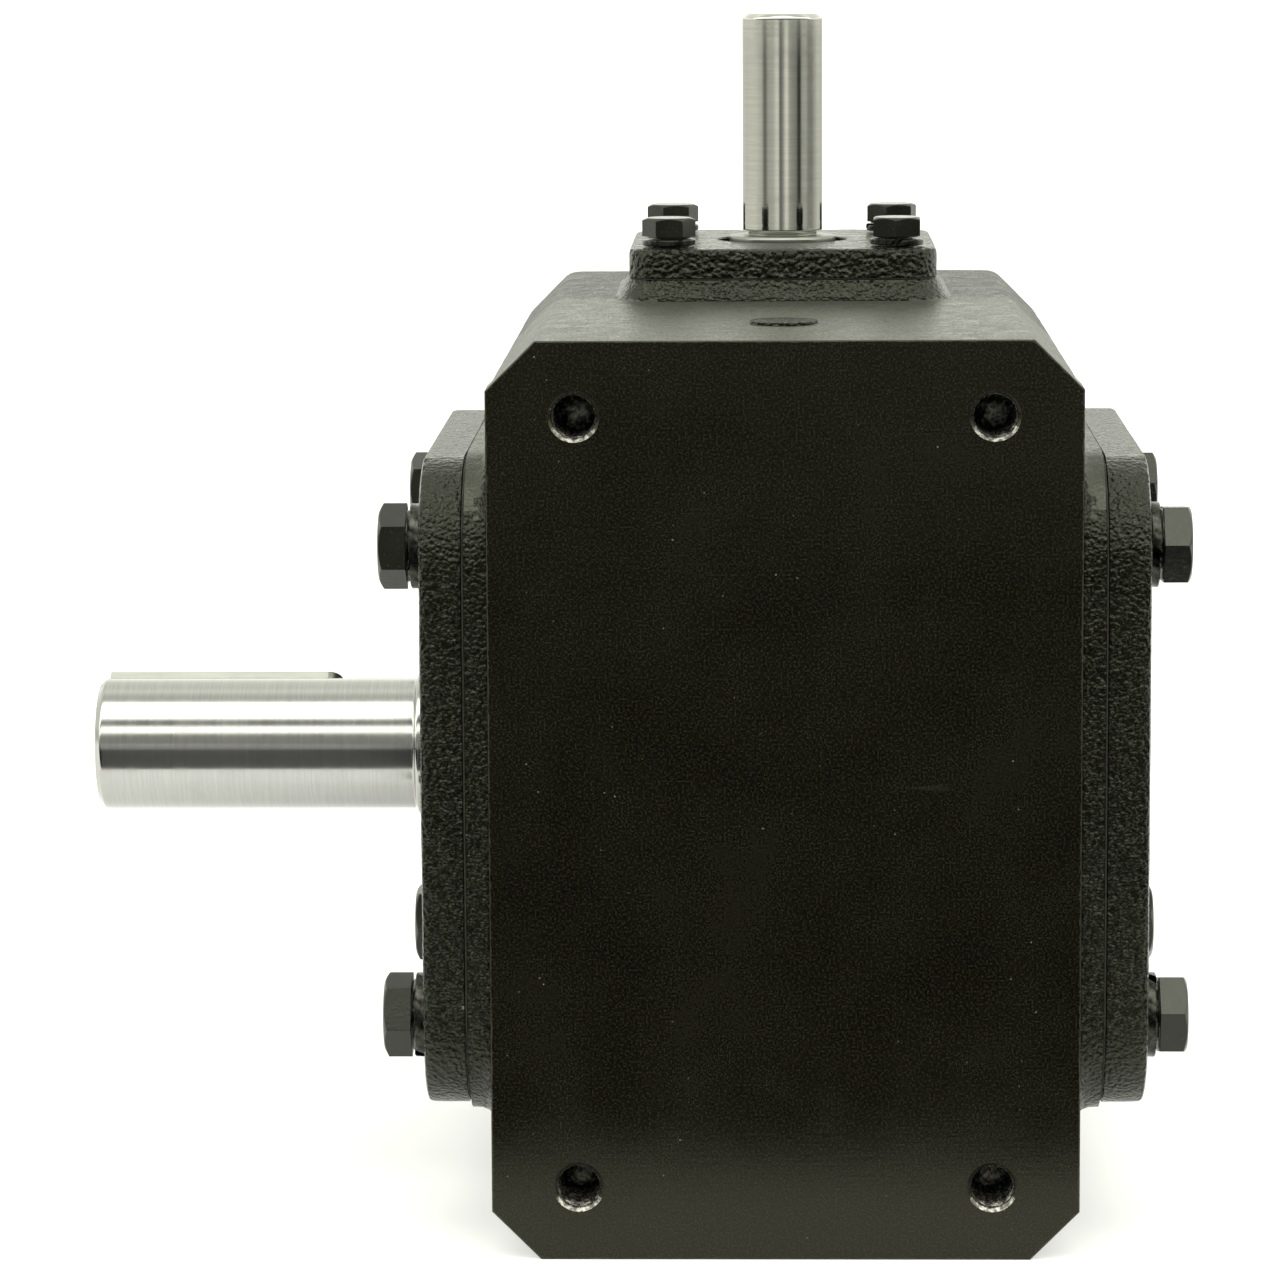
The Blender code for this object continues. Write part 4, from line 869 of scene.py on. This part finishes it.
def reflection_card(name, points, brightness):
    """Studio card that only shows in glossy reflections, as a flag or a strip light beside the camera."""
    bm = bmesh.new()
    bm.faces.new([bm.verts.new(p) for p in points])
    card = to_object(bm, name)
    material = bpy.data.materials.new(name + "_surface")
    material.use_nodes = True
    glow(material, (brightness, brightness, brightness * 0.95, 1))
    card.data.materials.append(material)
    only_in_reflections(card)


def tent_wall(distance=1250, low=30, high=170, steps=72):
    """Low ring of pale and dark panels at the height of the input shaft, seen only in its reflections.

    Each pair is an angle from the camera's side, positive to the right, and the panel's brightness there.
    """
    panels = [(-180, 0.75), (-131, 0.78), (-108, 0.84), (-80, 0.84), (-62, 0.66), (-54, 0.22), (-49, 0.24),
              (-42, 0.55), (-26, 0.66), (-18, 0.95), (-12, 0.95), (-7, 0.20), (-3, 0.25), (3, 0.50), (9, 1.0),
              (14, 1.0), (20, 0.52), (30, 0.40), (40, 0.30), (46, 0.06), (52, 0.06), (58, 0.50), (70, 0.58),
              (81, 0.32), (93, 0.28), (107, 0.55), (124, 0.80), (148, 0.66), (180, 0.75)]
    bm = bmesh.new()
    rows = []
    for i in range(steps):
        angle = math.tau * i / steps
        rows.append([bm.verts.new((distance * math.sin(angle), INPUT_Y - distance * math.cos(angle), z))
                     for z in (low, high)])
    for a, b in zip(rows, rows[1:] + rows[:1]):
        bm.faces.new((a[0], b[0], b[1], a[1]))
    wall = to_object(bm, "tent_wall")
    t = Tree("tent_wall_panels")
    x, y, z = t.split()[:3]
    azimuth = t.math("ARCTAN2", x, t.math("SUBTRACT", INPUT_Y, y))
    ramp = t.tree.nodes.new("ShaderNodeValToRGB")
    t.link(t.math("ADD", t.math("DIVIDE", azimuth, math.tau), 0.5), ramp.inputs[0])
    fill_ramp(ramp, [((degrees + 180) / 360, value) for degrees, value in panels])
    glow(t.material, ramp.outputs[0])
    wall.data.materials.append(t.material)
    only_in_reflections(wall)


def light(name, location, target, size, power, size_y=None):
    data = bpy.data.lights.new(name, "AREA")
    data.energy = power
    data.size = size
    if size_y:
        data.shape = "RECTANGLE"
        data.size_y = size_y
    lamp = bpy.data.objects.new(name, data)
    bpy.context.scene.collection.objects.link(lamp)
    lamp.location = location
    lamp.rotation_euler = (Vector(target) - Vector(location)).to_track_quat("-Z", "Y").to_euler()
    lamp.visible_glossy = False
    return lamp


def world():
    """Light tent: pale all round, with softer and brighter bands by height on the camera's side."""
    scene_world = bpy.data.worlds.new("studio")
    bpy.context.scene.world = scene_world
    scene_world.use_nodes = True
    tree = scene_world.node_tree
    background = tree.nodes["Background"]
    coordinates = tree.nodes.new("ShaderNodeTexCoord")
    split = tree.nodes.new("ShaderNodeSeparateXYZ")
    tree.links.new(coordinates.outputs["Generated"], split.inputs[0])
    towards_camera = tree.nodes.new("ShaderNodeMath")
    towards_camera.operation = "MULTIPLY"
    towards_camera.inputs[1].default_value = -1.0
    tree.links.new(split.outputs["Y"], towards_camera.inputs[0])
    angle = tree.nodes.new("ShaderNodeMath")
    angle.operation = "ARCTAN2"
    tree.links.new(split.outputs["Z"], angle.inputs[0])
    tree.links.new(towards_camera.outputs[0], angle.inputs[1])
    share = tree.nodes.new("ShaderNodeMath")
    share.operation = "DIVIDE"
    share.inputs[1].default_value = math.pi
    tree.links.new(angle.outputs[0], share.inputs[0])
    ramp = tree.nodes.new("ShaderNodeValToRGB")
    tree.links.new(share.outputs[0], ramp.inputs[0])
    bands = [(0, 0.10), (7, 0.26), (12, 0.42), (25, 0.42), (30, 3.3), (37, 3.3), (42, 0.30), (50, 0.34),
             (58, 4.4), (84, 4.4), (89, 0.95), (100, 0.85), (114, 1.4), (125, 1.15), (148, 1.2), (170, 1.6), (180, 1.6)]
    fill_ramp(ramp, [(degrees / 180, value) for degrees, value in bands])
    tree.links.new(ramp.outputs[0], background.inputs[0])
    background.inputs[1].default_value = 1.0


def camera():
    """The photograph's viewpoint: a long lens, square to the mounting face and looking a little down."""
    yaw, pitch, roll = (math.radians(v) for v in (-1.463, 8.189, 0.3089))
    forward = Vector((math.sin(yaw) * math.cos(pitch), math.cos(yaw) * math.cos(pitch), -math.sin(pitch)))
    right = Vector((math.cos(yaw), -math.sin(yaw), 0))
    down = forward.cross(right)
    x_axis = math.cos(roll) * right + math.sin(roll) * down
    y_axis = -(-math.sin(roll) * right + math.cos(roll) * down)
    data = bpy.data.cameras.new("camera")
    data.sensor_width = 36
    data.lens = FOCAL_LENGTH / PHOTO_WIDTH * data.sensor_width
    data.clip_end = 100
    view = bpy.data.objects.new("camera", data)
    bpy.context.scene.collection.objects.link(view)
    matrix = Matrix((x_axis, y_axis, -forward)).transposed().to_4x4()
    matrix.translation = Vector((-3.27, -1289.2, 227.8)) * MM
    view.matrix_world = matrix
    bpy.context.scene.camera = view


housing()
side_cover("output_side_cover", TOWARDS_OUTPUT, True)
side_cover("blind_side_cover", AWAY_FROM_OUTPUT, False)
bearing_cap()
seals()
fasteners()
output_shaft()
worm_shaft()
packed_pieces()
stage()
world()
camera()

reflection_card("front_flag", [(-2500, -80, -112), (2500, -80, -112), (2500, -1070, 30), (-2500, -1070, 30)], 0.02)
reflection_card("shaft_flag", [(-212, -75, -110), (-108, -75, -110), (-190, -1065, 32), (-350, -1065, 32)], 0.16)
reflection_card("shaft_screen", [(-265, -60, 2), (-108, -60, 2), (-108, -60, 20), (-265, -60, 20)], 0.55)
tent_wall()
light("key_softbox", (0.0, -1.1, 1.6), (0, 0.1, 0), 1.6, 5, 0.7)
light("top_softbox", (0.3, 0.5, 2.0), (0, 0.1, 0), 2.2, 7)
light("left_softbox", (-1.8, 0.0, 0.9), (0, 0.1, 0), 1.2, 3)
light("right_softbox", (1.8, 0.0, 0.9), (0, 0.1, 0), 1.2, 3)

bpy.context.scene.view_settings.view_transform = "Standard"
